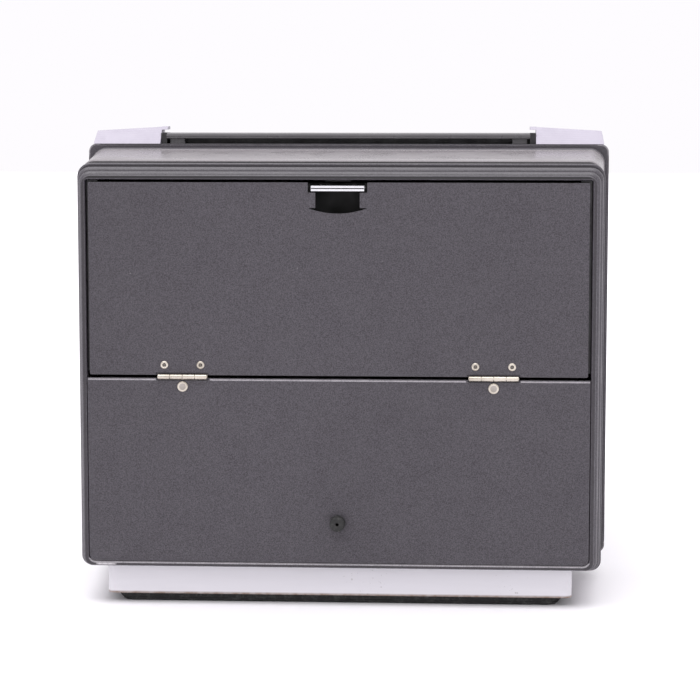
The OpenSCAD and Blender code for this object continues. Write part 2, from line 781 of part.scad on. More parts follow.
module lamp_door_pin() color(bright_steel) {
    rod_z(door_axis_x, door_axis_y, lamp_door_z0 + 1, lamp_door_z1 - 1, 1);
    for (z = [lamp_door_z0 + 1, lamp_door_z1 - 6])
        block(base_hw, door_axis_x + 1.4, door_axis_y - 1.4, door_axis_y + 3, z, z + 5);
}

// ---- post and its guide ----

module post_guide() color(bright_steel) difference() {
    block(-16, 16, tower_y, tower_y + 13, post_bottom - 4, guide_top);
    block(-12 - slide_fit, 12 + slide_fit, tower_y + 3 - slide_fit, tower_y + 9 + slide_fit,
        post_bottom - 1, guide_top + 1);
    block(-4 - slide_fit, 4 + slide_fit, tower_y + 3, tower_y + 14, post_bottom - 1,
        guide_top + 1);
}

// Half the width of a rack tooth at height h above its pitch line
function rack_half(h) = tooth_pitch / 4 - h * tan(20);

// The rack's outline in Y and Z, set so that a pinion tooth stands in a gap at pinion_z
module rack_outline() polygon(concat(
    [[rack_y - 2.5, rack_z0], [rack_y - 1.5, rack_z0]],
    [for (i = [0:rack_teeth - 1], p = [[-1, -1.5], [-1, 1.2], [1, 1.2], [1, -1.5]])
        [rack_y + p[1], rack_z0 + (i + 0.5) * tooth_pitch + p[0] * rack_half(p[1])]],
    [[rack_y - 1.5, rack_z0 + rack_teeth * tooth_pitch],
        [rack_y - 2.5, rack_z0 + rack_teeth * tooth_pitch]]
));

module post() color(bright_steel) {
    block(-12, 12, tower_y + 3, tower_y + 9, post_bottom, post_top);
    block(-4, 4, tower_y + 9, tower_y + 21, post_bottom, post_top);
    block(-12, 12, tower_y + 21, tower_y + 27, post_bottom, post_top);
    along_x(-5, 5) rack_outline();
}

// ---- focus drive ----

function gear_point(i, p) = let (a = i * 360 / pinion_teeth)
    [p[1] * cos(a) - p[0] * sin(a), p[1] * sin(a) + p[0] * cos(a)];

module focus_pinion() color(bright_steel) translate([0, pinion_y, pinion_z]) {
    tooth = [[-1.05, pitch_r - 1.6], [-0.7, pitch_r], [-0.3, pitch_r + 1.2],
        [0.3, pitch_r + 1.2], [0.7, pitch_r], [1.05, pitch_r - 1.6]];
    along_x(-4.8, 4.8)
        polygon([for (i = [0:pinion_teeth - 1], p = tooth) gear_point(i + 6, p)]);
    rod_x(-36, 36, 0, 0, 3);
}

module focus_knobs() color(black_plastic) translate([0, pinion_y, pinion_z])
    for (s = [-1, 1]) scale([s, 1, 1]) difference() {
        union() {
            rod_x(24, 36, 0, 0, 17);
            rod_x(22, 24, 0, 0, 10);
        }
        rod_x(20, 40, 0, 0, 3);
        for (i = [0:17]) rotate([i * 20, 0, 0]) rod_x(26, 37, 0, 17.6, 1.6);
    }

module head_carriage() color(black_plastic) difference() {
    union() {
        block(-21, 21, tower_y + 17, tower_y + 52, carriage_z0, head_z + 26);
        block(-18, 18, tower_y + 52, head_y0, head_z + 2, head_z + 24);
    }
    block(-12 - slide_fit, 12 + slide_fit, tower_y + 21 - slide_fit, tower_y + 27 + slide_fit,
        carriage_z0 - 1, head_z + 27);
    block(-4 - slide_fit, 4 + slide_fit, tower_y + 16, tower_y + 22, carriage_z0 - 1,
        head_z + 27);
    block(-5.6, 5.6, tower_y + 26, rack_y + 1.6, carriage_z0 - 1, head_z + 27);
    rod_x(-5.6, 5.6, pinion_y, pinion_z, pitch_r + 2);
    rod_x(-30, 30, pinion_y, pinion_z, 3 + fit);
}

// ---- projection head ----

module head_housing() color(black_plastic) difference() {
    union() {
        block(-head_hw, head_hw, head_y0, head_y1, head_z, head_top);
        for (s = [-1, 1]) scale([s, 1, 1]) {
            block(head_hw - 1, head_hw + 4, head_y0 - 1, head_y0 + 11, head_top - 14, head_top);
            block(head_hw + 0.6, head_hw + 4, head_y0 - 1, head_y0 + 11, head_top - 14,
                lid_axis_z + 5);
        }
    }
    block(-head_hw + 2.5, head_hw - 2.5, head_y0 + 2.5, head_y1 - 2.5, head_z + 3, head_top + 1);
    rod_z(0, optic_y, head_z - 1, head_z + 4, lens_d / 2);
    rod_x(-80, 80, lid_axis_y, lid_axis_z, 2);
}

module objective_barrel() color(black_plastic) difference() {
    union() {
        rod_z(0, optic_y, head_z - 4, head_z, lens_d / 2 + 8);
        rod_z(0, optic_y, head_z - 50, head_z - 4, lens_d / 2 + 4);
    }
    rod_z(0, optic_y, head_z - 51, head_z + 1, lens_d / 2 - 4);
    rod_z(0, optic_y, head_z - 46, head_z - 30, lens_d / 2 + fit);
    rod_z(0, optic_y, head_z - 22, head_z + 1, lens_d / 2 + fit);
}

module objective_lenses() color(clear_glass) translate([0, optic_y, 0]) {
    translate([0, 0, head_z - 38]) lens(lens_d, 15.8, 85);
    translate([0, 0, head_z - 13]) lens(lens_d, 17.8, 80);
}

module mirror_lid() color(black_plastic) difference() {
    union() {
        rod_x(-head_hw, head_hw, lid_axis_y, lid_axis_z, 5);
        block(-head_hw, head_hw, lid_axis_y, head_y1, lid_axis_z - 5, lid_axis_z + 5);
        block(-20, 20, head_y1 - 1, head_y1 + 5, lid_axis_z + 1, lid_axis_z + 5);
    }
    block(-51, 51, lid_axis_y + 6, head_y1 - 4, lid_axis_z - 6, lid_axis_z);
    rod_x(-80, 80, lid_axis_y, lid_axis_z, 2 + fit);
}

module mirror_glass() color("lightcyan")
    block(-50.8, 50.8, lid_axis_y + 6.2, head_y1 - 4.2, lid_axis_z - 3, lid_axis_z);

module mirror_pins() color(bright_steel)
    for (s = [-1, 1]) scale([s, 1, 1]) {
        rod_x(44, head_hw + 4, lid_axis_y, lid_axis_z, 2);
        rod_x(head_hw + 4, head_hw + 5.5, lid_axis_y, lid_axis_z, 3.4);
    }

base_pan();
rubber_feet();
case_screws();
front_bezel();
lower_panel();
panel_bumper();
tower_sleeve();
back_shell();
drop_door();
hinge_leaves_fixed();
hinge_leaves_door();
hinge_pins();
door_rivets();
panel_rivets();
latch_housing();
latch_bar();
latch_pin();
latch_springs();
latch_keeper();
compartment_liner();
cord_wrap_pegs();
spare_lamp();
spare_lamp_clip();
handle_caps();
handle_well();
handle_bar();
light_box();
stage_frame();
stage_glass();
fresnel_lens();
lens_carrier();
condenser_lens();
heat_glass();
lamp_carriage();
lamp_sockets();
lamps();
lamp_reflectors();
carriage_rails();
changer_lever();
switch_bezel();
switch_rocker();
mains_inlet();
transformer_core();
transformer_winding();
fan_frame();
fan_rotor();
exhaust_grille();
lamp_door();
lamp_door_pin();
post();
post_guide();
head_carriage();
focus_pinion();
focus_knobs();
head_housing();
objective_barrel();
objective_lenses();
mirror_lid();
mirror_glass();
mirror_pins();
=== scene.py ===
from math import copysign, cos, hypot, pi, radians, sin, sqrt

import bmesh
import bpy
from mathutils import Matrix, Vector


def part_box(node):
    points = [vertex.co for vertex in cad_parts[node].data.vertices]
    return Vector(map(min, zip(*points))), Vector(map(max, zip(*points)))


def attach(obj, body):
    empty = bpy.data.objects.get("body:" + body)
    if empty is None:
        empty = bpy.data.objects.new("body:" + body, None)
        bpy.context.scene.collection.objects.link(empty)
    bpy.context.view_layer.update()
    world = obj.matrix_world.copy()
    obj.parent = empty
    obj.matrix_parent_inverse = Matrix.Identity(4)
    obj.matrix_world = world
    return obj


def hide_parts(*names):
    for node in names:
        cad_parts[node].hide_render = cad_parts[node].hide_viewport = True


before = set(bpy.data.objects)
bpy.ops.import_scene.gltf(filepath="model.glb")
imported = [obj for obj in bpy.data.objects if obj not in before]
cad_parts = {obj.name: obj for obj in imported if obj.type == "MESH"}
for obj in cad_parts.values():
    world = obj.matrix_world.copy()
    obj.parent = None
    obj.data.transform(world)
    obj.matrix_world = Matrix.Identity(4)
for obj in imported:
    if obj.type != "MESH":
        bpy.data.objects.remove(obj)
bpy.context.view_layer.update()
scene = bpy.context.scene
MM = 0.001
FLANGE_THICK = 6.05 * MM        # the rear flange, back from the front of the end caps


# ---- camera, light and floor

def linked(name, data):
    """A new object of the scene with that data."""
    obj = bpy.data.objects.new(name, data)
    scene.collection.objects.link(obj)
    return obj


def make_camera():
    """The camera stands a little right of the middle and looks down on the door side."""
    data = bpy.data.cameras.new("camera")
    data.lens = 120.0
    data.sensor_width = 36.0
    data.clip_end = 50.0
    cam = linked("camera", data)
    cam.location = (0.1147, -2.0647, 0.4137)
    cam.rotation_euler = (radians(90 - 6.476), 0, radians(3.291))
    scene.camera = cam


def make_studio():
    """A pale room: an even sky and one very broad lamp overhead."""
    scene.view_settings.view_transform = "Standard"
    world = bpy.data.worlds.new("studio")
    world.use_nodes = True
    sky = world.node_tree.nodes["Background"]
    sky.inputs["Color"].default_value = (0.991, 0.973, 1.0, 1)
    sky.inputs["Strength"].default_value = 1.0
    scene.world = world
    data = bpy.data.lights.new("overhead", "SUN")
    data.energy = 2.4
    data.angle = radians(70)
    lamp = linked("overhead", data)
    lamp.rotation_euler = Vector((0.12, 0.1, -1)).to_track_quat("-Z", "Y").to_euler()


def make_floor():
    """A wide white floor with faint patches."""
    data = bpy.data.meshes.new("floor")
    reach = 9.0
    data.from_pydata([(-reach, -reach, 0), (reach, -reach, 0), (reach, reach, 0), (-reach, reach, 0)],
                     [], [(0, 1, 2, 3)])
    floor = linked("floor", data)
    g = Graph("floor_white", (0.92, 0.905, 0.93), 0.6)
    patches = g.noise(3.0, detail=4)
    g.color(g.ramp(patches, [(0.3, (0.9, 0.885, 0.915)), (0.7, (0.93, 0.915, 0.94))]))
    data.materials.append(g.mat)


# ---- material nodes

class Graph:
    """A material's nodes, with one short call for each kind of node that the finishes use."""

    def __init__(self, name, color, rough, metal=0.0, **sockets):
        self.mat = bpy.data.materials.new(name)
        self.mat.use_nodes = True
        self.tree = self.mat.node_tree
        self.bsdf = self.tree.nodes["Principled BSDF"]
        for key, value in dict(Base_Color=color, Roughness=rough, Metallic=metal, **sockets).items():
            self.wire(value, self.bsdf.inputs[key.replace("_", " ")])
        self.place = self.node("TexCoord").outputs["Object"]

    def node(self, kind, *first, **named):
        """Adds a node and feeds its first inputs in order, and others by name."""
        node = self.tree.nodes.new("ShaderNode" + kind)
        for key, source in [*enumerate(first), *named.items()]:
            self.wire(source, node.inputs[key])
        return node

    def wire(self, source, socket):
        """Links an output to a socket, or sets the socket to a number, a colour or a vector."""
        if isinstance(source, (int, float)):
            socket.default_value = source
        elif isinstance(source, tuple):
            socket.default_value = (*source, 1) if socket.type == "RGBA" else source
        else:
            self.tree.links.new(source, socket)

    def stretched(self, scale):
        """The object's own coordinates, stretched by a factor along each axis."""
        return self.node("Mapping", Scale=scale, Vector=self.place).outputs["Vector"]

    def noise(self, scale, detail=2.0, rough=0.5, at=None):
        return self.node("TexNoise", Scale=scale, Detail=detail, Roughness=rough,
                         Vector=at or self.place).outputs["Fac"]

    def cells(self, scale):
        return self.node("TexVoronoi", Scale=scale, Vector=self.place).outputs["Distance"]

    def waves(self, scale, direction, warp):
        node = self.node("TexWave", Scale=scale, Distortion=warp, Vector=self.place)
        node.bands_direction = direction
        return node.outputs["Fac"]

    def along(self, axis):
        return self.node("SeparateXYZ", self.place).outputs[axis]

    def ramp(self, source, stops):
        """Colours along source, as (position, colour) stops."""
        node = self.node("ValToRGB", source)
        points = node.color_ramp.elements
        while len(points) < len(stops):
            points.new(0.5)
        for point, (where, color) in zip(points, stops):
            point.position = where
            point.color = (*color, 1)
        return node.outputs["Color"]

    def span(self, source, low, high, to_low=0.0, to_high=1.0):
        """Maps source from low..high onto to_low..to_high, clamped."""
        return self.node("MapRange", source, low, high, to_low, to_high).outputs["Result"]

    def times(self, a, b):
        node = self.node("Math", a, b)
        node.operation = "MULTIPLY"
        return node.outputs[0]

    def mix(self, share, a, b):
        """Blends two colours, a at share 0 and b at share 1."""
        node = self.tree.nodes.new("ShaderNodeMix")
        node.data_type = "RGBA"
        for key, source in (("Factor", share), (6, a), (7, b)):
            self.wire(source, node.inputs[key])
        return node.outputs[2]

    def color(self, source):
        self.wire(source, self.bsdf.inputs["Base Color"])

    def rough(self, source):
        self.wire(source, self.bsdf.inputs["Roughness"])

    def gloss(self, scale, least, most, detail=4):
        """Roughness that wanders in patches from least to most."""
        self.rough(self.span(self.noise(scale, detail=detail), 0.3, 0.7, least, most))

    def bump(self, source, strength, depth, under=None):
        """Adds a bump of that depth in metres, over an earlier one if there is one."""
        node = self.node("Bump", Strength=strength, Distance=depth, Height=source)
        if under is not None:
            self.wire(under, node.inputs["Normal"])
        self.wire(node.outputs["Normal"], self.bsdf.inputs["Normal"])
        return node.outputs["Normal"]


# ---- finishes

def dimmed(tone, share):
    """A colour darkened to a share of itself."""
    return tuple(c * share for c in tone)


def foam_plastic(name, dark, light, wear=0.0, rough=0.55, dim_above=None, scuff=None):
    """Textured structural foam: a fine fleck, soft mottling and a pebbled skin.

    dim_above is a height over which a narrow band is painted in shade; scuff is (x0, x1, top).
    """
    g = Graph(name, dark, rough)
    fleck = g.noise(1150, detail=3, rough=0.7)
    middle = tuple((a + b) / 2 for a, b in zip(dark, light))
    body = g.ramp(fleck, [(0.38, dark), (0.52, middle), (0.68, light)])
    mottle = g.noise(7, detail=5, rough=0.65, at=g.stretched((1, 1, 0.45)))
    shade = g.mix(g.span(mottle, 0.35, 0.7, 0.0, 0.14), body, dimmed(dark, 0.82))
    speck = g.span(g.cells(95), 0.035, 0.075, 1.0, 0.0)
    rare = g.times(speck, g.span(g.noise(21, detail=1), 0.62, 0.68))
    shade = g.mix(g.times(rare, 0.35), shade, (0.30, 0.29, 0.31))
    if wear:
        rub = g.span(g.noise(130, detail=4, rough=0.8), 0.42, 0.62, 0.0, wear)
        shade = g.mix(rub, shade, (0.36, 0.34, 0.36))
    # Painted shade: a band of about 5 mm just above dim_above is darkened as if in shadow.
    if dim_above:
        band, fade = dim_above + 5.2 * MM, 0.6 * MM
        dim = g.times(g.span(g.along("Z"), dim_above, dim_above + 2 * MM, 0.0, 0.8),
                      g.span(g.along("Z"), band, band + fade, 1.0, 0.0))
        shade = g.mix(dim, shade, dimmed(dark, 0.3))
    if scuff:
        x0, x1, top = scuff
        mask = g.times(g.span(g.along("X"), x0, x0 + 2 * MM),
                       g.span(g.along("X"), x1 - 3 * MM, x1, 1.0, 0.0))
        mask = g.times(mask, g.span(g.along("Z"), top - 1 * MM, top, 1.0, 0.0))
        mask = g.times(mask, g.span(g.noise(330, detail=4, rough=0.7), 0.36, 0.56))
        shade = g.mix(mask, shade, (0.5, 0.48, 0.5))
    g.color(shade)
    g.gloss(38, rough - 0.07, rough + 0.1)
    pebble = g.bump(g.noise(620, detail=2, rough=0.6), 0.35, 0.2 * MM)
    g.bump(g.noise(11, detail=2), 0.2, 1.2 * MM, under=pebble)
    return g.mat


def satin_paint(name, tone, grime, rough=0.4):
    """Satin paint on sheet metal, with faint rolling marks, small chips and grime low down."""
    g = Graph(name, tone, rough)
    rolled = g.noise(55, detail=3, at=g.stretched((0.35, 1, 3.5)))
    base = g.mix(g.span(rolled, 0.3, 0.7, 0.0, 0.3), tone, dimmed(tone, 0.9))
    chips = g.times(g.span(g.noise(420, detail=3), 0.66, 0.7), g.span(g.noise(9, detail=2), 0.55, 0.62))
    base = g.mix(g.times(chips, 0.5), base, (0.22, 0.2, 0.2))
    low = g.span(g.along("Z"), 7.8 * MM, 9.2 * MM, 1.0, 0.0)
    dirt = g.times(low, g.span(g.noise(160, detail=4), 0.3, 0.65, 0.6, 0.95))
    g.color(g.mix(dirt, base, grime))
    g.gloss(70, rough - 0.08, rough + 0.12)
    g.bump(g.noise(900, detail=2), 0.12, 0.08 * MM)
    return g.mat


def marbled_plastic(name, tone, rough=0.45):
    """Pale moulded plastic with a light marbling of use."""
    g = Graph(name, tone, rough)
    stain = g.noise(26, detail=5, rough=0.6)
    g.color(g.mix(g.span(stain, 0.35, 0.7, 0.0, 0.35), tone, dimmed(tone, 0.86)))
    g.gloss(120, rough - 0.08, rough + 0.12, detail=3)
    g.bump(g.noise(1300, detail=2), 0.15, 0.08 * MM)
    return g.mat


def moulded(name, tone, rough=0.5, grain=900, depth=0.12, dust=0.0):
    """Plain moulded plastic: a grain of that depth in millimetres, uneven gloss and a little dust."""
    g = Graph(name, tone, rough)
    body = g.mix(g.span(g.noise(18, detail=4), 0.35, 0.7, 0.0, 0.5), tone,
                 tuple(min(1, c * 1.35 + 0.002) for c in tone))
    if dust:
        veil = g.span(g.noise(260, detail=4, rough=0.75), 0.5, 0.75, 0.0, dust)
        body = g.mix(veil, body, (0.3, 0.29, 0.28))
    g.color(body)
    g.gloss(75, max(0.05, rough - 0.1), rough + 0.12)
    g.bump(g.noise(grain, detail=2), 0.3, depth * MM)
    return g.mat


def metal(name, tone, rough, brush=(1, 1, 1), tarnish=0.15, scratches=0.3):
    """Bare or plated metal: brushed grain along one axis, tarnish patches and hairline marks."""
    g = Graph(name, tone, rough, metal=1.0)
    patch = g.noise(45, detail=5, rough=0.65)
    g.color(g.mix(g.span(patch, 0.42, 0.75, 0.0, tarnish), tone, (0.28, 0.24, 0.19)))
    grain = g.noise(420, detail=4, at=g.stretched(brush))
    g.rough(g.span(grain, 0.25, 0.75, max(0.03, rough - 0.08), rough + 0.14))
    g.bump(grain, scratches, 0.05 * MM)
    return g.mat


def clear(name, tone, rough=0.02, ior=1.5):
    """Glass or clear plastic, with a faint film of dust that dulls it unevenly."""
    g = Graph(name, tone, rough, Transmission_Weight=1.0, IOR=ior)
    g.rough(g.span(g.noise(35, detail=5, rough=0.7), 0.45, 0.85, rough, rough + 0.04))
    g.bump(g.noise(240, detail=3), 0.04, 0.03 * MM)
    return g.mat


def laminated(name):
    """A stack of thin varnished steel sheets, seen at their edges."""
    g = Graph(name, (0.12, 0.115, 0.11), 0.45, metal=0.7)
    sheets = g.waves(170, "Y", 0.2)
    g.color(g.ramp(sheets, [(0.2, (0.05, 0.045, 0.04)), (0.6, (0.17, 0.16, 0.15))]))
    g.bump(sheets, 0.5, 0.2 * MM)
    return g.mat


def wound_tape(name):
    """Amber insulating tape wrapped over a coil."""
    g = Graph(name, (0.5, 0.24, 0.04), 0.3, Coat_Weight=0.4, Coat_Roughness=0.15)
    wraps = g.waves(22, "Z", 0.6)
    tint = g.ramp(wraps, [(0.1, (0.33, 0.14, 0.02)), (0.7, (0.58, 0.29, 0.06))])
    g.color(g.mix(g.span(g.noise(30, detail=3), 0.4, 0.7, 0, 0.3), tint, (0.28, 0.12, 0.03)))
    g.bump(wraps, 0.4, 0.3 * MM)
    return g.mat


def silvered(name, tint):
    """A front-silvered surface with faint wiping marks."""
    g = Graph(name, tint, 0.03, metal=1.0)
    wipe = g.noise(30, detail=4, rough=0.7, at=g.stretched((1, 4, 1)))
    g.rough(g.span(wipe, 0.45, 0.8, 0.02, 0.09))
    return g.mat


def scuffed_rail():
    """Where the bottom rail of the frame is scuffed: near its left end, below the panel."""
    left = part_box("lower_panel")[0]
    return left.x + 4 * MM, left.x + 22 * MM, left.z


def make_finishes():
    """Every finish, by the short name that the pieces ask for."""
    door_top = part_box("drop_door")[1].z
    return {
        "shell": foam_plastic("shell_foam", (0.026, 0.0215, 0.0275), (0.087, 0.08, 0.0945)),
        # Lighter edge finish: wear, and painted highlight on rounded edges that catch the light.
        "shell_edge_wear_and_highlight": foam_plastic("shell_foam_wear_and_highlight", (0.08, 0.072, 0.082), (0.2, 0.19, 0.21), wear=0.5),
        "frame": foam_plastic("frame_foam", (0.019, 0.016, 0.02), (0.045, 0.04, 0.048), rough=0.45,
                              dim_above=door_top, scuff=scuffed_rail()),
        # Painted highlight: a lighter, glossier frame finish for rounded ridges and beads, as if they caught
        # the light from above.
        "ridge": foam_plastic("frame_foam_painted_highlight", (0.042, 0.037, 0.045), (0.105, 0.097, 0.112), rough=0.36),
        # Pale edge finish: wear, and painted highlight on the top edges of the frame's bottom rail and of
        # the lower panel.
        "worn_and_highlit": foam_plastic("frame_foam_wear_and_highlight", (0.15, 0.14, 0.152), (0.4, 0.38, 0.41), wear=0.5,
                             rough=0.35),
        "sleeve": foam_plastic("sleeve_foam", (0.185, 0.168, 0.18), (0.265, 0.245, 0.26), rough=0.27),
        "pale": satin_paint("pale_paint", (0.71, 0.695, 0.735), (0.2, 0.13, 0.09)),
        "cap": marbled_plastic("cap_plastic", (0.43, 0.4, 0.475)),
        "black": moulded("black_plastic", (0.014, 0.013, 0.015), 0.42, dust=0.1),
        # Painted shade: near-black standing in for the shade in the latch cavity, behind the latch bar and
        # in its groove.
        "deep": moulded("painted_shade_black", (0.003, 0.003, 0.003), 0.75, grain=700),
        "liner": moulded("liner_plastic", (0.03, 0.029, 0.032), 0.55, grain=420, depth=0.3, dust=0.15),
        "grip": moulded("handle_grip", (0.125, 0.12, 0.127), 0.32, grain=1500),
        "head": moulded("head_plastic", (0.04, 0.038, 0.043), 0.5, grain=750, depth=0.18, dust=0.06),
        "knob": moulded("knob_plastic", (0.016, 0.016, 0.017), 0.35),
        "rubber": moulded("rubber_black", (0.012, 0.012, 0.012), 0.72, grain=1600, dust=0.18),
        "red": moulded("rocker_red", (0.36, 0.018, 0.012), 0.22, grain=2000, depth=0.04),
        "ceramic": moulded("ceramic", (0.7, 0.64, 0.54), 0.65, grain=700),
        "nickel": metal("nickel_plate", (0.62, 0.57, 0.5), 0.3, (6, 1, 1), tarnish=0.75),
        "hollow": metal("nickel_hollow", (0.2, 0.185, 0.17), 0.5, tarnish=0.5),
        "face": metal("nickel_face", (0.4, 0.37, 0.345), 0.45, tarnish=0.8, scratches=0.6),
        "steel": metal("bright_steel", (0.6, 0.6, 0.61), 0.24, (1, 1, 7)),
        "zinc": metal("zinc_plate", (0.52, 0.52, 0.47), 0.36, (7, 1, 1), tarnish=0.25),
        "chrome": metal("chrome_plate", (0.74, 0.74, 0.77), 0.12, (5, 1, 1), tarnish=0.08, scratches=0.08),
        "black_metal": moulded("black_paint", (0.02, 0.02, 0.022), 0.36, grain=1300, depth=0.08),
        "glass": clear("stage_glass", (0.93, 0.98, 0.97)),
        "acrylic": clear("fresnel_acrylic", (0.95, 0.97, 0.98), 0.02, 1.49),
        "draft": moulded("fresnel_draft", (0.5, 0.52, 0.53), 0.4, grain=1800),
        "optics": clear("optical_glass", (0.95, 0.98, 1.0), 0.0, 1.52),
        "quartz": clear("lamp_quartz", (0.97, 0.97, 0.95), 0.01, 1.46),
        "dish": silvered("dichroic_dish", (0.78, 0.8, 0.9)),
        "mirror": silvered("mirror_silver", (0.92, 0.93, 0.93)),
        "core": laminated("core_laminations"),
        "tape": wound_tape("winding_tape"),
    }


# ---- mesh helpers

def as_object(name, bm):
    """Turns a bmesh into an object of the scene, with its faces all turned outwards."""
    bmesh.ops.recalc_face_normals(bm, faces=bm.faces)
    data = bpy.data.meshes.new(name)
    bm.to_mesh(data)
    bm.free()
    return linked(name, data)


def paint(data, finishes, smooth=True):
    """Gives a mesh one finish or a list of them, and smooth or flat shading."""
    for finish in finishes if isinstance(finishes, list) else [finishes]:
        data.materials.append(finish)
    data.polygons.foreach_set("use_smooth", [smooth] * len(data.polygons))


def piece(name, bm, body, finishes, replaces=(), smooth=True):
    """Turns a bmesh into a piece that rides on a body and stands for the CAD nodes named."""
    obj = as_object(name, bm)
    paint(obj.data, finishes, smooth)
    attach(obj, body)
    if replaces:
        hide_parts(*replaces)
    return obj


def keep_smooth(obj, angle=40):
    """Smooth shading with the sharp corners kept sharp."""
    obj.data.polygons.foreach_set("use_smooth", [True] * len(obj.data.polygons))
    obj.data.set_sharp_from_angle(angle=radians(angle))


def bevel(obj, width, limit, edge_slot):
    """Rounds the edges that turn by more than limit degrees; width is in millimetres."""
    edges = obj.modifiers.new("edges", "BEVEL")
    edges.width = width * MM
    edges.segments = 2
    edges.limit_method = "ANGLE"
    edges.angle_limit = radians(limit)
    edges.material = edge_slot


def soften(obj, width, edge_slot=0):
    """Joins an object's flat faces and rounds its sharp edges, so that they catch the light."""
    obj.modifiers.new("weld", "WELD").merge_threshold = 0.01 * MM
    flat = obj.modifiers.new("flat", "DECIMATE")
    flat.decimate_type = "DISSOLVE"
    flat.angle_limit = radians(0.6)
    bevel(obj, width, 38, edge_slot)
    obj.modifiers.new("normals", "WEIGHTED_NORMAL").keep_sharp = False


def dress(node, finishes, width=0.0, edge_slot=0):
    """Gives a CAD node its finish and, where width is set, edges rounded by that many millimetres."""
    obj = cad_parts[node]
    obj.data.materials.clear()
    old = obj.data.attributes.get("custom_normal")
    if old is not None:
        obj.data.attributes.remove(old)
    paint(obj.data, finishes)
    if width:
        soften(obj, width, edge_slot)


def paint_where(node, slot, test):
    """Gives another of a node's finishes to the faces whose middle and normal pass a test."""
    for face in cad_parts[node].data.polygons:
        if test(face.center, face.normal):
            face.material_index = slot


def arc(cx, cy, r, start, end, steps=5):
    """Points on an arc in an outline, angles in degrees."""
    turns = [radians(start + (end - start) * i / steps) for i in range(steps + 1)]
    return [(cx + r * cos(a), cy + r * sin(a)) for a in turns]


def ring(hw, z0, z1, r, y, low=None):
    """A rounded rectangle in X and Z at depth y; low is the radius of its two lower corners."""
    low = r if low is None else low
    points = arc(hw - r, z1 - r, r, 0, 90, 8) + arc(-hw + r, z1 - r, r, 90, 180, 8)
    points += arc(-hw + low, z0 + low, low, 180, 270, 8) + arc(hw - low, z0 + low, low, 270, 360, 8)
    return [(x, y, z) for x, z in points]


def skin(bm, a, b):
    """Faces between two loops of vertices, either of which may be a single point."""
    for i in range(max(len(a), len(b))):
        j = i + 1
        corners = (a[i % len(a)], a[j % len(a)], b[j % len(b)], b[i % len(b)])
        bm.faces.new(list(dict.fromkeys(corners)))


def loft(bm, loops, closed=True):
    """Skins between loops of points. Closed joins the last to the first; open has its ends filled."""
    rows = [[bm.verts.new(p) for p in loop] for loop in loops]
    for a, b in zip(rows, rows[1:] + rows[:1] if closed else rows[1:]):
        skin(bm, a, b)
    if not closed:
        bm.faces.new(rows[0])
        bm.faces.new(rows[-1])
    return rows


def box(bm, low, high):
    """A box from its low corner to its high one."""
    v = [bm.verts.new((x, y, z)) for x in (low[0], high[0]) for y in (low[1], high[1])
         for z in (low[2], high[2])]
    for f in ((0, 1, 3, 2), (4, 6, 7, 5), (0, 4, 5, 1), (2, 3, 7, 6), (0, 2, 6, 4), (1, 5, 7, 3)):
        bm.faces.new([v[i] for i in f])


def standing(place, axis):
    """The matrix that stands something upright at the origin along axis at place."""
    turn = Vector((0, 0, 1)).rotation_difference(Vector(axis)).to_matrix().to_4x4()
    return Matrix.Translation(Vector(place)) @ turn


def lathe(bm, outline, place, axis, steps=40):
    """Turns an outline of (radius, height) pairs, in millimetres, about an axis through place.

    It closes at a radius of 0, and where its last point is its first one again.
    """
    where = standing(place, axis)
    closed = outline[0] == outline[-1]
    rows = []
    for r, h in outline[:-1] if closed else outline:
        turns = [2 * pi * i / steps for i in range(steps)] if r else [0.0]
        rows.append([bm.verts.new(where @ (Vector((r * cos(a), r * sin(a), h)) * MM)) for a in turns])
    if closed:
        rows.append(rows[0])
    for a, b in zip(rows, rows[1:]):
        skin(bm, a, b)
    return rows


def belt(bm, half, y0, y1, r, section, closed=True):
    """A bead that runs right round an upright box; section gives (stand-off, height) pairs."""
    middle, deep = (y0 + y1) / 2, (y1 - y0) / 2
    loops = []
    for off, z in section:
        points = []
        for cx, cy, start in ((1, 1, 0), (-1, 1, 90), (-1, -1, 180), (1, -1, 270)):
            points += arc(cx * (half - r), middle + cy * (deep - r), r + off, start, start + 90, 6)
        loops.append([(x, y, z) for x, y in points])
    return loft(bm, loops, closed)


def bead(z0, z1, proud):
    """A bead's section from z0 to z1, with rounded edges and a root sunk in the wall."""
    soft = min(proud, (z1 - z0) / 3)
    root = -0.5 * MM
    return [(root, z0), (proud - soft, z0), (proud - soft * 0.3, z0 + soft * 0.3), (proud, z0 + soft),
            (proud, z1 - soft), (proud - soft * 0.3, z1 - soft * 0.3), (proud - soft, z1), (root, z1)]


def bars(name, body, finish, places, soft=0.5):
    """Raised moulded bars with rounded edges, each from one corner to the other."""
    bm = bmesh.new()
    for a, b in places:
        box(bm, [min(p, q) for p, q in zip(a, b)], [max(p, q) for p, q in zip(a, b)])
    soften(piece(name, bm, body, finish), soft)


def cut(obj, boxes):
    """Takes boxes out of a piece for good."""
    bm = bmesh.new()
    for low, high in boxes:
        box(bm, low, high)
    cutter = as_object("cutter", bm)
    saw = obj.modifiers.new("cut", "BOOLEAN")
    saw.operation = "DIFFERENCE"
    saw.solver = "EXACT"
    saw.object = cutter
    bpy.context.view_layer.update()
    result = bpy.data.meshes.new_from_object(obj.evaluated_get(bpy.context.evaluated_depsgraph_get()))
    obj.modifiers.remove(saw)
    obj.data = result
    bpy.data.objects.remove(cutter)


def clear_base(obj, y0, y1):
    """Cuts room for the base pan out of a piece, from y0 back to y1."""
    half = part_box("base_pan")[1].x + 0.5 * MM
    room_top = 31.5 * MM
    cut(obj, [((-half, y0, -0.01), (half, y1, room_top))])
    keep_smooth(obj)


# ---- front case

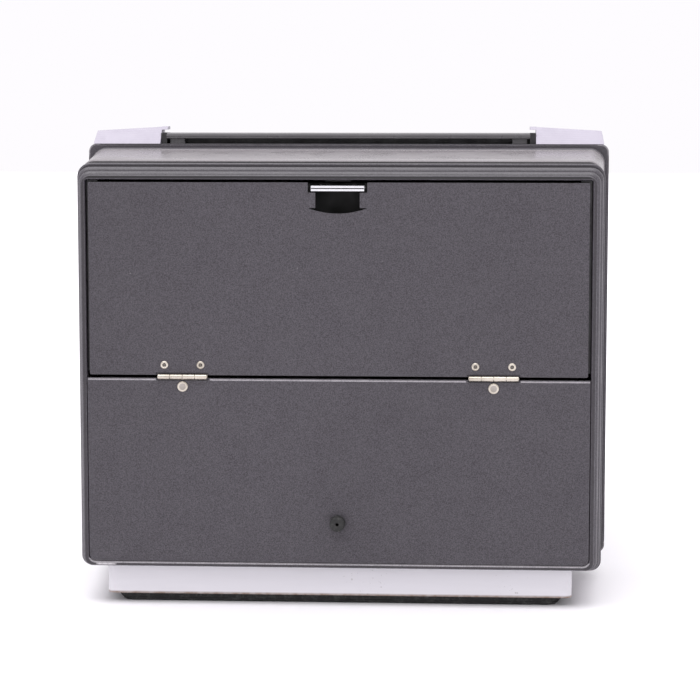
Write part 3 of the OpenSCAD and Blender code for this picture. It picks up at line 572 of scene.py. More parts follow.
def quarter_round(inner, outer, y, soft, end, turns=5):
    """Loops from the ring inner out to the ring outer, whose front edge is rounded by soft."""
    hw, z0, z1, r, low = outer
    loops = [ring(*inner[:4], y, low=inner[4])]
    for i in range(turns + 1):
        a = radians(90 * i / turns)
        off = soft * (1 - sin(a))
        loops.append(ring(hw - off, z0 + off, z1 - off, r - off * 0.5, y + soft * (1 - cos(a)),
                          low=low - off * 0.5))
    loops.append(ring(hw, z0, z1, r, end, low=low))
    return loops


def make_bezel(m):
    """The stepped frame: rounded ridges that step back from the face to the lip. The rounded faces of the
    ridges and of the opening's edge get a lighter finish as painted highlight; along the bottom of the
    opening this finish also shows wear.
    """
    low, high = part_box("front_bezel")
    door_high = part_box("drop_door")[1]
    face, back = low.y, high.y
    open_hw, open_low, open_top = door_high.x + 2.4 * MM, 35.5 * MM, door_high.z + 2.0 * MM
    step = 9 * MM
    # Each ridge in millimetres: in from the side, bottom and top, two corner radii, and its rounding.
    ridges = ((7.0, 5.5, 9.8, 8.0, 6.4, 0.7), (4.0, 3.5, 7.3, 9.0, 7.2, 4.0),
              (1.5, 1.5, 4.1, 10.0, 7.8, 4.0), (0.0, 0.0, 1.2, 11.0, 8.4, 1.4))
    # The rounded edge of the opening in millimetres: out from it, down from its bottom, and back.
    edge = ((0.0, 0.0, 1.9), (0.25, 0.45, 0.9), (0.6, 1.1, 0.3), (1.0, 1.8, 0.0))
    # Finish slots: the plain frame, painted highlight on the rounded faces, and wear with painted highlight
    # along the bottom of the opening.
    plain, highlit, worn_and_highlit = 0, 1, 2
    loops = [ring(open_hw, open_low, open_top, 1.2 * MM, back, low=5 * MM)]
    for out, down, deep in edge:
        loops.append(ring(open_hw + out * MM, open_low - down * MM, open_top + out * MM, (1.2 + out) * MM,
                          face + deep * MM, low=(5 + out) * MM))
    kinds = [plain] + [worn_and_highlit] * (len(edge) - 1) + [plain]
    inner = (open_hw + 1.2 * MM, open_low - 2.0 * MM, open_top + 1.2 * MM, 2.4 * MM, 6.2 * MM)
    for i, ridge in enumerate(ridges):
        side, bottom, top, corner, low_corner, soft = [v * MM for v in ridge]
        outer = (high.x - side, low.z + bottom, high.z - top, corner, low_corner)
        y = face + i * step
        end = y + step - 0.01 * MM if i < len(ridges) - 1 else back
        added = quarter_round(inner, outer, y, soft, end)
        loops += added
        kinds += [plain] + [highlit] * (len(added) - 2) + [plain]
        inner = tuple(v - d * MM for v, d in zip(outer, (0.1, -0.1, 0.1, 0, 0)))
    bm = bmesh.new()
    loft(bm, loops)
    across = len(loops[0])
    for k, f in enumerate(bm.faces):
        kind = kinds[k // across]
        if kind == worn_and_highlit and f.calc_center_median().z > open_low + 2 * MM:
            kind = highlit
        f.material_index = kind
    obj = piece("bezel_moulding", bm, "case", [m["frame"], m["ridge"], m["worn_and_highlit"]],
                ["front_bezel"])
    clear_base(obj, face + step, back + 0.01)


def make_door_stops(m):
    """The ledges inside the frame that the door and the panel shut against."""
    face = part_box("front_bezel")[0].y
    door_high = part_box("drop_door")[1]
    inner, outer, rear = 190 * MM, door_high.x + 2.3 * MM, face + 8.6 * MM
    places = []
    for side in (-1, 1):
        for y, z0, z1 in ((4.1 * MM, 36 * MM, 181 * MM), (5.7 * MM, 188 * MM, door_high.z + 1.9 * MM)):
            places.append(((side * inner, face + y, z0), (side * outer, rear, z1)))
    bars("door_stops", "case", m["black"], places, 0.4)


def make_sleeve(m):
    """The sleeve between the lip and the rear flange, with a black seam in front, a seal that is also
    painted shade of the gap behind the lip, and a bead behind with a painted highlight.
    """
    low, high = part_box("tower_sleeve")
    y0, y1 = low.y, high.y
    front = (207.6 * MM, 27.6 * MM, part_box("front_bezel")[1].z + 0.5 * MM, 10 * MM)
    back = (high.x, low.z, high.z, 12 * MM)

    def at(share, grow, y):
        """The sleeve's ring that share of the way back, grown by some millimetres."""
        hw, z0, z1, r = [a + (b - a) * share for a, b in zip(front, back)]
        more = grow * MM
        return ring(hw + more, z0 - more, z1 + more, r + more * 0.5, y)

    seam = ((0, -3.5, 0), (0, -2.2, 0), (0, -2.2, 1.8), (0.02, -0.9, 2.0), (0.02, -0.3, 2.3), (0.03, 0, 3.2))
    collar = 0.87
    loops = [at(share, grow, y0 + deep * MM) for share, grow, deep in seam]
    loops += [at(share, 0, y0 + share * (y1 - y0)) for share in (0.2, 0.4, 0.6, 0.8, collar)]
    collar_y = y0 + collar * (y1 - y0)
    loops += [at(collar, 0.4, collar_y + 0.2 * MM), at(collar, 0.8, collar_y + 0.8 * MM)]
    loops += [at(1, 0.7, y1), at(1, -2.6, y1)]
    bm = bmesh.new()
    rows = loft(bm, loops)
    dark = {v for row in rows[1:4] for v in row}
    rear = {v for row in rows[-4:] for v in row}
    # Black on the seam's faces is painted shade of the gap behind the lip as well as a seal; the bead behind
    # takes the painted highlight finish.
    for f in bm.faces:
        f.material_index = 1 if dark.issuperset(f.verts) else 2 if rear.issuperset(f.verts) else 0
    obj = piece("sleeve_tapered", bm, "case", [m["sleeve"], m["black"], m["ridge"]],
                ["tower_sleeve"])
    clear_base(obj, y0 - 0.01, y1 + 0.01)


def make_flange(m):
    """The skin of the rear flange: a rounded edge, pale with wear and painted highlight, and tight corners.
    """
    low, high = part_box("back_shell")
    cap_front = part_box("handle_caps")[0].y
    front, back = cap_front - 0.05 * MM, cap_front + FLANGE_THICK
    corner, soft, overlap = 6.5 * MM, 1.3 * MM, 12 * MM

    def at(inset, y):
        return ring(high.x - inset, low.z + inset, high.z - inset, max(corner - inset, 1 * MM), y)

    turns = [radians(90 * i / 4) for i in range(5)]
    loops = [at(overlap, front)]
    loops += [at(soft * (1 - sin(a)), front + soft * (1 - cos(a))) for a in turns]
    loops += [at(soft * (1 - cos(a)), back - soft * (1 - sin(a))) for a in turns]
    loops += [at(overlap, back)]
    bm = bmesh.new()
    loft(bm, loops)
    across = len(loops[0])
    # The rounded edge takes the lighter edge finish: wear and painted highlight.
    for k, f in enumerate(bm.faces):
        f.material_index = 0 if k // across in (0, len(loops) - 2, len(loops) - 1) else 1
    obj = piece("rear_flange_skin", bm, "case", [m["shell"], m["shell_edge_wear_and_highlight"]])
    clear_base(obj, front - 0.01, back + 0.01)


def rivet_head(head, hollow, sunk):
    """The outline of a rivet's head, in millimetres: a dome round a hollow of depth sunk."""
    lip = hollow * 1.12
    outline = [(0.0, -sunk), (hollow * 0.82, -sunk * 0.92), (hollow * 0.95, -sunk * 0.4), (lip, 0.0)]
    for degrees in (24, 42, 58, 72, 84):
        a = radians(degrees)
        outline.append((head - (head - lip) * (1 - sin(a)), -0.86 * (1 - cos(a))))
    return outline + [(head, -0.95), (hollow + 0.1, -0.95)]


def rivet_places(data, front):
    """The middles of the rivet heads, from the vertices on their front faces."""
    groups = []
    for v in data.vertices:
        if v.co.y > front + 0.02 * MM:
            continue
        near = [g for g in groups if hypot(v.co.x - g[0].x, v.co.z - g[0].z) < 8 * MM]
        if near:
            near[0].append(v.co)
        else:
            groups.append([v.co])
    return sorted(((min(p.x for p in g) + max(p.x for p in g)) / 2,
                   (min(p.z for p in g) + max(p.z for p in g)) / 2) for g in groups)


def make_rivets(m):
    """Domed rivets with a hollow in their heads: small ones on the door, larger ones on the panel."""
    for node, body, head, hollow, sunk, inside in (("door_rivets", "door", 3.15, 1.5, 1.2, "hollow"),
                                                   ("panel_rivets", "case", 4.3, 2.75, 0.22, "face")):
        low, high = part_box(node)
        tail = [(0.0, 0.0), (head * 0.72, 0.0), (head * 0.72, 0.5), (head * 0.5, 1.0), (0.0, 1.0)]
        bm = bmesh.new()
        for x, z in rivet_places(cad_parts[node].data, low.y):
            rows = lathe(bm, rivet_head(head, hollow, sunk), (x, low.y, z), (0, -1, 0), 36)
            sunken = {v for row in rows[:3] for v in row}
            for f in {f for v in sunken for f in v.link_faces if sunken.issuperset(f.verts)}:
                f.material_index = 1
            lathe(bm, tail, (x, high.y - 1 * MM, z), (0, 1, 0), 24)
        piece(node + "_domed", bm, body, [m["nickel"], m[inside]], [node])


def make_panel_edge(m):
    """The rounded top edge of the lower panel, pale with wear and painted highlight, in three lengths
    between the hinges.
    """
    low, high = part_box("lower_panel")
    leaf_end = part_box("hinge_leaves_fixed")[1].x
    hinge_in, hinge_out = leaf_end - 41 * MM, leaf_end + 1.4 * MM
    section = ((-0.12, -1.7), (-0.14, -1.1), (0.0, -0.5), (0.35, -0.1), (0.9, 0.06), (1.7, 0.06),
               (1.7, -1.7))
    bm = bmesh.new()
    for x0, x1 in ((low.x, -hinge_out), (-hinge_in, hinge_in), (hinge_out, high.x)):
        ends = ((x0 + 0.3 * MM, 0.7), (x0 + 1.2 * MM, 1.0), (x1 - 1.2 * MM, 1.0), (x1 - 0.3 * MM, 0.7))
        loft(bm, [[(x, low.y + y * MM * full, high.z + z * MM) for y, z in section] for x, full in ends],
             closed=False)
    keep_smooth(piece("panel_top_edge", bm, "case", m["worn_and_highlit"]))


def make_latch_groove_shade(m):
    """A black strip sunk in the groove along the latch bar, hollow across its width: painted shade in the
    groove.
    """
    low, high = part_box("latch_bar")
    front, bottom, reach = low.y + 0.3 * MM, low.z + 1.69 * MM, high.x - 0.3 * MM
    section = ((0.0, 0.0), (0.2, 0.25), (0.24, 0.41), (0.2, 0.57), (0.0, 0.82), (0.52, 0.82), (0.52, 0.0))
    bm = bmesh.new()
    loft(bm, [[(reach * share, front + y * MM, bottom + z * MM) for y, z in section]
              for share in (-1, -0.5, 0, 0.5, 1)], closed=False)
    piece("latch_groove_painted_shade", bm, "latch", m["deep"], smooth=False)


def make_bumper(m):
    """The rubber bumper that the open door rests on, with a pinhole in its middle."""
    low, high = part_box("panel_bumper")
    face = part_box("drop_door")[0].y
    tall = (face - low.y) / MM
    outline = [(1.2, -6), (3.6, -6), (3.6, -4), (2.5, -4), (2.5, 0), (6.2, 0), (6.15, 1.5)]
    outline += arc(4.4, tall - 1.6, 1.6, 8, 90, 6)
    outline += [(1.7, tall - 0.1), (1.25, tall - 0.5), (1.2, tall - 1.2), (1.2, -6)]
    bm = bmesh.new()
    lathe(bm, outline, ((low.x + high.x) / 2, face, (low.z + high.z) / 2), (0, -1, 0))
    piece("bumper_rounded", bm, "case", m["rubber"], ["panel_bumper"])


def make_feet(m):
    """The two rubber strips under the base: slanted ends, a groove along them and screw recesses."""
    low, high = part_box("rubber_feet")
    wide, tall, end, hole = 24 * MM, 7 * MM, 12 * MM, 4.4 * MM
    section = ((-2.2, 0.0), (-1.2, 0.15), (-0.7, 0.9), (-0.5, 2.6), (-0.9, 2.8), (-0.9, 3.2), (-0.45, 3.4),
               (0.0, 6.6), (-0.3, 7.0))
    for word, y0, nodes in (("front", low.y, ["rubber_feet"]), ("rear", high.y - wide, [])):
        bm = bmesh.new()
        belt(bm, high.x, y0, y0 + wide, 10 * MM, [(off * MM, z * MM) for off, z in section], closed=False)
        for v in bm.verts:
            if abs(v.co.x) > high.x - end:
                v.co.x -= copysign((tall - v.co.z) * 0.8, v.co.x)
        obj = piece("rubber_strip_" + word, bm, "case", m["rubber"], nodes)
        middle, reach = y0 + wide / 2, high.x - wide / 2
        cut(obj, [((x - hole, middle - hole, -0.001), (x + hole, middle + hole, 0.003))
                  for x in (-reach, reach)])
        keep_smooth(obj)


def make_caps(m):
    """The pale end caps of the carrying bar: ribbed wedges that lean back from the flange."""
    low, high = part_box("handle_caps")
    front, back, outer = low.y, high.y, high.x
    top_in, top_out, flange_top = high.z - 0.3 * MM, high.z - 3.5 * MM, high.z - 14.2 * MM
    inner, lip_in = 157.5 * MM, 152.6 * MM
    root_x, root_z, root_y = 207 * MM, 358 * MM, front + FLANGE_THICK
    lean, taper, ribs = top_in - flange_top, 1.5 * MM, 7
    # Points down the cap's side as (x of the outer end, y, z of the inner end, z of the outer end).
    side_view = []
    for i in range(ribs * 4 + 1):
        t = i / (ribs * 4)
        notch = 0.14 * MM if i % 4 == 2 else 0.0
        side_view.append((outer - t * taper, front + t * lean + notch, flange_top + t * lean,
                          flange_top + t * (top_out - flange_top)))
    side_view += [(outer - taper, back - 0.8 * MM, top_in, top_out),
                  (outer - taper, back, top_in - 1.2 * MM, top_out - 1.2 * MM),
                  (root_x, back, root_z, root_z), (root_x, root_y, root_z, root_z),
                  (outer, root_y, flange_top, flange_top)]
    lip_top, lip_low, lip_back = high.z, high.z - 2.6 * MM, back - 3 * MM
    lip = [(front + lip_top - flange_top, lip_top), (front + lip_low - flange_top, lip_low),
           (lip_back, lip_low), (lip_back, lip_top)]
    bm = bmesh.new()
    for side in (-1, 1):
        loft(bm, [[(side * inner, y, z) for _, y, z, _ in side_view],
                  [(side * x, y, z) for x, y, _, z in side_view]], closed=False)
        loft(bm, [[(side * x, y, z - 0.02 * MM) for y, z in lip] for x in (lip_in, inner + 0.5 * MM)],
             closed=False)
    obj = piece("handle_caps_ribbed", bm, "case", m["cap"], ["handle_caps"])
    bevel(obj, 0.5, 32, -1)
    keep_smooth(obj, 30)


def make_handle(m):
    """The carrying bar: a crowned strap with a groove along its front, on two footed legs."""
    low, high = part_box("handle_bar")
    y0, y1, top = low.y, high.y, high.z
    under, soft = top - 4.8 * MM, 1.7 * MM
    groove = ((0.6, 0.0), (0.0, 0.7), (0.0, 1.25), (0.4, 1.45), (0.4, 1.75), (0.0, 1.95))
    section = [(y0 + y * MM, under + z * MM) for y, z in groove]
    section += arc(y0 + soft, top - soft, soft, 180, 90) + arc(y1 - soft, top - soft, soft, 90, 0)
    section += [(y1, under + 0.7 * MM), (y1 - 0.6 * MM, under)]
    mid_y, mid_z = (y0 + y1) / 2, (under + top) / 2
    ends = ((0.7, 0.0), (0.93, 0.25), (1.0, 1.0))
    loops = []
    for side, rounding in ((-1, ends), (1, ends[::-1])):
        for share, tuck in rounding:
            x = side * (high.x - tuck * MM)
            loops.append([(x, mid_y + (y - mid_y) * (0.5 + share / 2), mid_z + (z - mid_z) * share)
                          for y, z in section])
    bm = bmesh.new()
    loft(bm, loops, closed=False)
    leg_x, foot_top = 144 * MM, 322 * MM
    for side in (-1, 1):
        for half_x, half_y, z0, z1 in ((6, 5, foot_top, under + 0.1 * MM), (9, 8, low.z, foot_top)):
            box(bm, (side * leg_x - half_x * MM, mid_y - half_y * MM, z0),
                (side * leg_x + half_x * MM, mid_y + half_y * MM, z1))
    keep_smooth(piece("handle_strap", bm, "handle", m["grip"], ["handle_bar"]), 30)


# ---- optics and drive

def make_fresnel(m):
    """The Fresnel lens under the stage glass, with its rings cut as real saw-tooth grooves."""
    low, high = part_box("fresnel_lens")
    middle = (low + high) / 2
    half = (high.x - low.x) / 2
    steps, pitch, depth, same = 128, 2.4 * MM, 1.1 * MM, 1e-6
    turns = [2 * pi * k / steps for k in range(steps)]
    bm = bmesh.new()

    def groove(r, z):
        """A ring of vertices of radius r, held back by the lens's four sides."""
        row = []
        for a in turns:
            q = min(r, half / max(abs(cos(a)), abs(sin(a))))
            row.append(bm.verts.new((middle.x + q * cos(a), middle.y + q * sin(a), z)))
        return row

    rows = []
    for i in range(int(half * sqrt(2) / pitch) + 1):
        if i:
            rows.append(groove(i * pitch, high.z))
        rows.append(groove((i + 0.96) * pitch, high.z - depth * min(1.0, 0.3 + i / 40)))
    skin(bm, [bm.verts.new((middle.x, middle.y, high.z))], rows[0])
    for i, (a, b) in enumerate(zip(rows, rows[1:])):
        for k in range(steps):
            j = (k + 1) % steps
            if (a[k].co - b[k].co).length + (a[j].co - b[j].co).length > 2 * same:
                bm.faces.new((a[k], b[k], b[j], a[j])).material_index = i % 2
    under = [bm.verts.new((v.co.x, v.co.y, low.z)) for v in rows[-1]]
    skin(bm, rows[-1], under)
    bm.faces.new(under)
    bmesh.ops.remove_doubles(bm, verts=bm.verts, dist=same)
    piece("fresnel_grooved", bm, "case", [m["acrylic"], m["draft"]], ["fresnel_lens"],
          smooth=False)


def make_fan_rotor(m):
    """Cupped blades on a rounded hub."""
    frame_low, frame_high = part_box("fan_frame")
    centre = (frame_low + frame_high) / 2
    centre.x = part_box("fan_rotor")[0].x
    tall, blades, spans, ribs = 17.0, 7, 7, 6
    root, tip, chord, half_thick = 14.6 * MM, 35.0 * MM, 17.5 * MM, 0.42 * MM

    def point(blade, i, j, face):
        """A point on a blade, i spans out and j ribs across; face is -1 or 1."""
        out, u = i / spans, j / ribs - 0.5
        r = root + (tip - root) * out
        pitch = radians(50 - 22 * out)
        cup = 0.9 * MM * (1 - (2 * u) ** 2)
        shift = face * half_thick
        turn = 2 * pi * blade / blades + shift / r
        turn += (chord * u * cos(pitch) + cup) / max(r, 18 * MM) * 1.1
        x = tall * MM / 2 + chord * u * sin(pitch) + shift
        return centre + Vector((x, r * cos(turn), r * sin(turn)))

    hub = [(0.0, 0.0), (12.5, 0.0)] + arc(12.6, 2.4, 2.4, -90, 0, 4)
    hub += [(15, tall), (13.6, tall), (13.6, 4), (2.4, 4), (2.4, tall - 4), (1.55, tall - 4), (1.55, 3.5),
            (0.0, 3.5)]
    bm = bmesh.new()
    lathe(bm, hub, centre, (1, 0, 0))
    across = range(ribs + 1)
    for blade in range(blades):
        rows = []
        for i in range(spans + 1):
            points = [point(blade, i, j, -1) for j in across] + [point(blade, i, j, 1) for j in across[::-1]]
            rows.append([bm.verts.new(p) for p in points])
        for a, b in zip(rows, rows[1:]):
            skin(bm, a, b)
        for end in (rows[0], rows[-1]):
            for j in range(ribs):
                bm.faces.new((end[j], end[j + 1], end[-j - 2], end[-j - 1]))
    piece("fan_rotor_bladed", bm, "fan", m["black"], ["fan_rotor"])


def make_knobs(m):
    """Fluted focus knobs with a dished end."""
    low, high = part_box("focus_knobs")
    y, z, tall = (low.y + high.y) / 2, (low.z + high.z) / 2, 14
    outline = [(3, 0), (9.6, 0), (10, 0.4), (10, 2), (15.6, 2)] + arc(15.8, 3.2, 1.2, -90, 0, 3)
    outline += arc(15.4, 12.4, 1.6, 0, 90, 4)
    outline += [(12.4, tall), (11.8, 13.4), (3.4, 13.2), (3, 13.2), (3, 0)]
    grip, flute = 14.8 * MM, 0.75 * MM
    bm = bmesh.new()
    for side in (-1, 1):
        for row in lathe(bm, outline, (side * (high.x - tall * MM), y, z), (side, 0, 0), 96):
            for v in row[::4]:
                r = hypot(v.co.y - y, v.co.z - z)
                if r > grip:
                    v.co.y = y + (v.co.y - y) * (1 - flute / r)
                    v.co.z = z + (v.co.z - z) * (1 - flute / r)
    piece("focus_knobs_fluted", bm, "focus", m["knob"], ["focus_knobs"], smooth=False)


def make_lamps(m):
    """Halogen capsules with a coiled filament, in dichroic dishes: two on the changer and a spare."""
    lamp_low, lamp_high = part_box("lamps")
    dish_low, dish_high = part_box("lamp_reflectors")
    spare_low, spare_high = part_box("spare_lamp")
    spare = (spare_low + spare_high) / 2
    reach = 20 * MM
    capsule = [(0.0, -3), (4.4, -3), (4.6, 4), (5, 6), (5, 14), (4.4, 16.6), (3, 18.6), (1.3, 19.6),
               (0.5, 20), (0.0, 20)]
    bowl = [(5.6, 0), (8, 0), (10.6, 3.6), (13, 8), (15.2, 12), (17, 16), (18.7, 20.5), (20, 25), (19, 25),
            (17.8, 21), (16, 16.5), (14.1, 12.6), (12, 9), (9.6, 5), (7, 2), (5.6, 2), (5.6, 0)]
    short_base = [(0.0, -7), (4.5, -7), (4.5, -3), (0.0, -3)]
    long_base = [(0.0, -20), (7.4, -20), (8, -19.4), (8, 0.4), (0.0, 0.4)]
    on_changer = [((x, (lamp_low.y + lamp_high.y) / 2, dish_low.z), (0, 0, 1))
                  for x in (dish_low.x + reach, dish_high.x - reach)]
    in_clip = [((spare.x, spare_high.y - reach, spare.z), (0, -1, 0))]
    for word, body, places, base, steps, nodes, dish_nodes in (
            ("lamp", "changer", on_changer, short_base, 24, ["lamps"], ["lamp_reflectors"]),
            ("spare_lamp", "case", in_clip, long_base, 28, ["spare_lamp"], [])):
        capsules, dishes, wires, bases = [bmesh.new() for _ in range(4)]
        for place, axis in places:
            lathe(capsules, capsule, place, axis, 28)
            lathe(dishes, bowl, place, axis, 36)
            coil(wires, place, axis)
            lathe(bases, base, place, axis, steps)
        piece(word + "_capsules", capsules, body, m["quartz"], nodes)
        piece(word + "_dishes", dishes, body, m["dish"], dish_nodes, smooth=False)
        piece(word + "_filaments", wires, body, m["steel"])
        piece(word + "_bases", bases, body, m["ceramic"])


def coil(bm, place, axis):
    """A fine wire coil across a lamp's axis, on two straight leads."""
    where = standing(place, axis)
    wide, radius, lift, wire, turns, steps = 5 * MM, 0.9 * MM, 9 * MM, 0.16 * MM, 9, 10
    path = [Vector((-wide / 2, 0, 0))]
    for i in range(turns * steps + 1):
        a = 2 * pi * i / steps
        path.append(Vector((wide * (i / (turns * steps) - 0.5), radius * cos(a), lift + radius * sin(a))))
    path.append(Vector((wide / 2, 0, 0)))
    loops = []
    for i, p in enumerate(path):
        ahead = (path[min(i + 1, len(path) - 1)] - path[max(i - 1, 0)]).normalized()
        side = ahead.orthogonal().normalized()
        up = ahead.cross(side)
        quarters = [k * pi / 2 for k in range(4)]
        loops.append([where @ (p + (side * cos(a) + up * sin(a)) * wire) for a in quarters])
    loft(bm, loops, closed=False)


def make_screws(m):
    """Pan-head screws with a cross recess: four in the rubber strips and four in the stage frame."""
    foot_low, foot_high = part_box("rubber_feet")
    inset = 12 * MM
    places = [((x, y, 0.6 * MM), (0, 0, 1), 13.4) for x in (foot_low.x + inset, foot_high.x - inset)
              for y in (foot_low.y + inset, foot_high.y - inset)]
    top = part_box("stage_frame")[1].z - 0.2 * MM
    stage_x, stage_ys = 170 * MM, (-60 * MM, 228 * MM)
    places += [((x, y, top), (0, 0, -1), 7.4) for x in (-stage_x, stage_x) for y in stage_ys]
    head = [(0.0, 0.0), (2.6, 0.0), (3.4, 0.4), (3.9, 1.3), (3.9, 2.4), (2, 2.4)]
    bm = bmesh.new()
    for place, axis, tall in places:
        lathe(bm, head + [(2, tall), (0.0, tall)], place, axis, 28)
    obj = piece("case_screws_crossed", bm, "case", m["steel"], ["case_screws"])
    long, short, deep, clear_of = 2.1 * MM, 0.4 * MM, 0.9 * MM, 1 * MM
    for half_x, half_y in ((long, short), (short, long)):
        slots = []
        for (x, y, z), axis, _ in places:
            z0, z1 = (z - clear_of, z + deep) if axis[2] > 0 else (z - deep, z + clear_of)
            slots.append(((x - half_x, y - half_y, z0), (x + half_x, y + half_y, z1)))
        cut(obj, slots)


def make_barrel(m):
    """The lens barrel: a stepped tube with a knurled grip, a collar and two lens seats."""
    low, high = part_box("objective_barrel")
    collar, tall, knurl = (high.x - low.x) / 2 / MM, (high.z - low.z) / MM, 0.8
    tube, lens = collar - 4, collar - 8
    outline = [(lens - 4, 0), (tube - 1.6, 0), (tube - 0.5, 0.7), (tube - 0.5, 3), (tube - 1.3, 3.5),
               (tube - 1.3, 4.6), (tube, 5.2), (tube, 22), (tube - 0.8, 22.8), (tube - 0.8, 25),
               (tube, 25.6), (tube, 38), (tube - 0.8, 38.6), (tube - 0.8, tall - 4.6), (tube, tall - 4),
               (collar - 0.6, tall - 4), (collar, tall - 3.4), (collar, tall - 0.6), (collar - 0.6, tall),
               (lens + 0.05, tall), (lens + 0.05, 28), (lens - 4, 28), (lens - 4, 20), (lens + 0.05, 20),
               (lens + 0.05, 4), (lens - 4, 4), (lens - 4, 0)]
    middle_y = (low.y + high.y) / 2
    bm = bmesh.new()
    rows = lathe(bm, outline, (0, middle_y, low.z), (0, 0, 1), 160)
    for row in rows[6:8]:
        for k, v in enumerate(row):
            if k % 4 < 2:
                v.co.x *= 1 - knurl / tube
                v.co.y = middle_y + (v.co.y - middle_y) * (1 - knurl / tube)
    obj = piece("barrel_knurled", bm, "head", m["black_metal"], ["objective_barrel"])
    keep_smooth(obj, 25)


# ---- mouldings on the sides and the back

def make_light_box_trim(m):
    """Beads round the light box, and a rounded rim round the stage glass."""
    low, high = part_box("light_box")
    stage_low, stage_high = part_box("stage_glass")
    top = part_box("stage_frame")[1].z
    bm = bmesh.new()
    beads = ((34, 38.5), (184, 187), (190, 193), (196, 199))
    for z0, z1 in beads:
        belt(bm, high.x, low.y - 1 * MM, high.y, 10 * MM, bead(z0 * MM, z1 * MM, 1.1 * MM))
    piece("light_box_beads", bm, "case", m["shell"])
    bm = bmesh.new()
    for gap, tall in ((2.0, 1.0), (6.5, 0.6)):
        rim = [(0.0, -0.4), (0.0, tall * 0.6), (0.5, tall), (1.7, tall), (2.2, tall * 0.6), (2.2, -0.4)]
        belt(bm, stage_high.x + gap * MM, stage_low.y - gap * MM, stage_high.y + min(gap, 4.4) * MM, 3 * MM,
             [(off * MM, top + z * MM) for off, z in rim])
    piece("stage_rims", bm, "case", m["shell"])


def make_back_ribs(m):
    """Flutes across the back of the case on both sides of the post, each set with an upright bar."""
    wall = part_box("back_shell")[1].y
    root = wall - 1 * MM
    flutes, pitch, first_z = 9, 13 * MM, 232 * MM
    places = []
    for side in (-1, 1):
        for z in [first_z + pitch * i for i in range(flutes)]:
            places.append(((side * 42 * MM, root, z), (side * 198 * MM, wall + 1.2 * MM, z + 4 * MM)))
        places.append(((side * 34 * MM, root, 228 * MM), (side * 37 * MM, wall + 1.6 * MM, 346 * MM)))
    bars("back_flutes", "case", m["shell"], places, 0.9)


def make_head_trim(m):
    """Ribs on the head's sides and back, a framed lid, and louvres on the lamp door."""
    low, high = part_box("head_housing")
    wall, root, proud = high.x - 4 * MM, 1 * MM, 1.2 * MM
    places = []
    for side in (-1, 1):
        for i in range(7):
            y = low.y + (24 + 12 * i) * MM
            places.append(((side * (wall - root), y, low.z + 7 * MM),
                           (side * (wall + proud), y + 5 * MM, low.z + 40 * MM)))
    for i in range(4):
        z = low.z + (9 + 9 * i) * MM
        places.append(((-44 * MM, high.y - root, z), (44 * MM, high.y + proud, z + 4 * MM)))
    bars("head_ribs", "head", m["head"], places, 0.7)

    low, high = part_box("mirror_lid")
    places = [((x * MM, low.y + 22 * MM, high.z - root), ((x + 4) * MM, high.y - 20 * MM, high.z + 0.8 * MM))
              for x in (-42, -22, -2, 18, 38)]
    for y in (low.y + 14 * MM, high.y - 17 * MM):
        places.append(((-48 * MM, y, high.z - root), (48 * MM, y + 3 * MM, high.z + 1 * MM)))
    bars("lid_ribs", "mirror", m["head"], places, 0.6)

    door_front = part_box("lamp_door")[0].y
    skin_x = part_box("light_box")[1].x + 1.2 * MM
    y0, y1 = door_front + 16 * MM, door_front + 78 * MM
    places = [((skin_x - 0.6 * MM, y0, z * MM), (skin_x + 1.3 * MM, y1, (z + 3) * MM))
              for z in range(76, 136, 8)]
    bars("lamp_door_louvres", "access", m["shell"], places, 0.7)


# ---- CAD nodes and their finishes

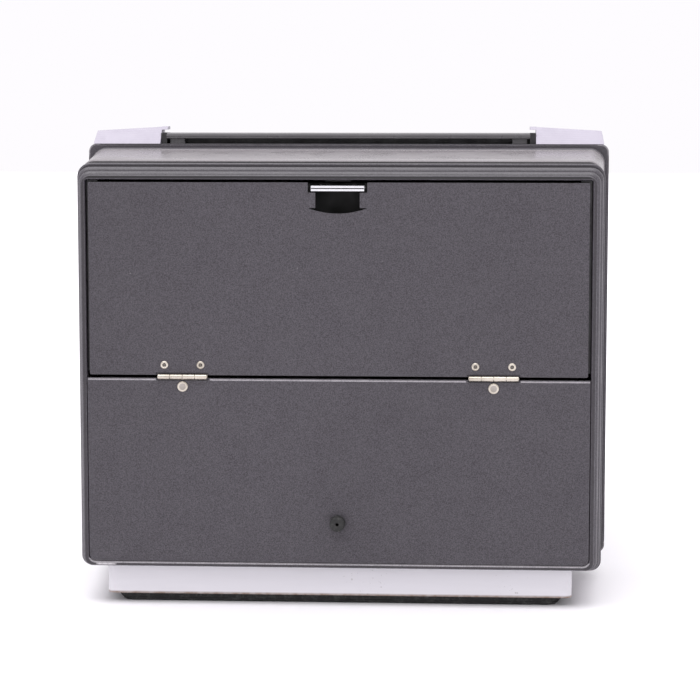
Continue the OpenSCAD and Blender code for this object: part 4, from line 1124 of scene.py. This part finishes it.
# The finish of each CAD node that needs only one, and how far its edges are rounded, in millimetres.
NODE_FINISHES = {
    "nickel": {"hinge_leaves_fixed": 0.15, "hinge_leaves_door": 0.15, "hinge_pins": 0.1},
    "steel": {"latch_pin": 0.1, "latch_springs": 0, "spare_lamp_clip": 0.3, "carriage_rails": 0.2,
              "lamp_door_pin": 0.2, "post": 0.2, "focus_pinion": 0.1, "mirror_pins": 0.3},
    "zinc": {"lens_carrier": 0.3, "lamp_carriage": 0.5},
    "black_metal": {"latch_keeper": 0.2, "post_guide": 0.4, "head_carriage": 1.2},
    # The handle well is black as painted shade under the carrying bar.
    "black": {"cord_wrap_pegs": 1.0, "changer_lever": 0.3, "switch_bezel": 0.4, "mains_inlet": 0.3,
              "handle_well": 0.3, "fan_frame": 0.5, "exhaust_grille": 0.4},
    # The latch housing is near-black as painted shade in the finger cavity.
    "deep": {"latch_housing": 0.3},
    "liner": {"compartment_liner": 1.0},
    "head": {"head_housing": 2.0, "mirror_lid": 1.5},
    "red": {"switch_rocker": 0.5},
    "ceramic": {"lamp_sockets": 0.5},
    "glass": {"stage_glass": 0.4},
    "optics": {"condenser_lens": 0, "heat_glass": 0.2, "objective_lenses": 0},
    "mirror": {"mirror_glass": 0.2},
    "core": {"transformer_core": 0.3},
    "tape": {"transformer_winding": 1.0},
}


def dress_nodes(m):
    """Gives every CAD node that stays in view its finish."""
    # Where edge_slot is 1, as on the door and the panel, the rounded edges take the lighter edge finish:
    # wear and painted highlight.
    for node, width, edge_slot in (("drop_door", 0.8, 1), ("lower_panel", 1.3, 1), ("back_shell", 1.6, 0),
                                   ("light_box", 1.4, 0), ("stage_frame", 1.2, 0), ("lamp_door", 0.5, 0)):
        dress(node, [m["shell"], m["shell_edge_wear_and_highlight"]], width, edge_slot)
    dress("base_pan", [m["pale"], m["black"]], 0.8)
    # Painted shade: the pan's underside is black so that the gap under the base reads dark.
    paint_where("base_pan", 1, lambda at, up: up.z < -0.9)
    dress("latch_bar", [m["chrome"], m["deep"]], 0.25, edge_slot=-1)
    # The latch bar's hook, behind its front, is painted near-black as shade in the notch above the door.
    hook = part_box("latch_bar")[0].y + 3.2 * MM
    paint_where("latch_bar", 1, lambda at, up: at.y > hook)
    for finish, nodes in NODE_FINISHES.items():
        for node, width in nodes.items():
            dress(node, m[finish], width)


make_camera()
make_studio()
make_floor()
finishes = make_finishes()
for make in (dress_nodes, make_bezel, make_door_stops, make_sleeve, make_flange, make_rivets,
             make_latch_groove_shade, make_panel_edge, make_bumper, make_feet, make_caps, make_handle, make_fresnel,
             make_fan_rotor, make_knobs, make_lamps, make_screws, make_barrel, make_light_box_trim,
             make_back_ribs, make_head_trim):
    make(finishes)
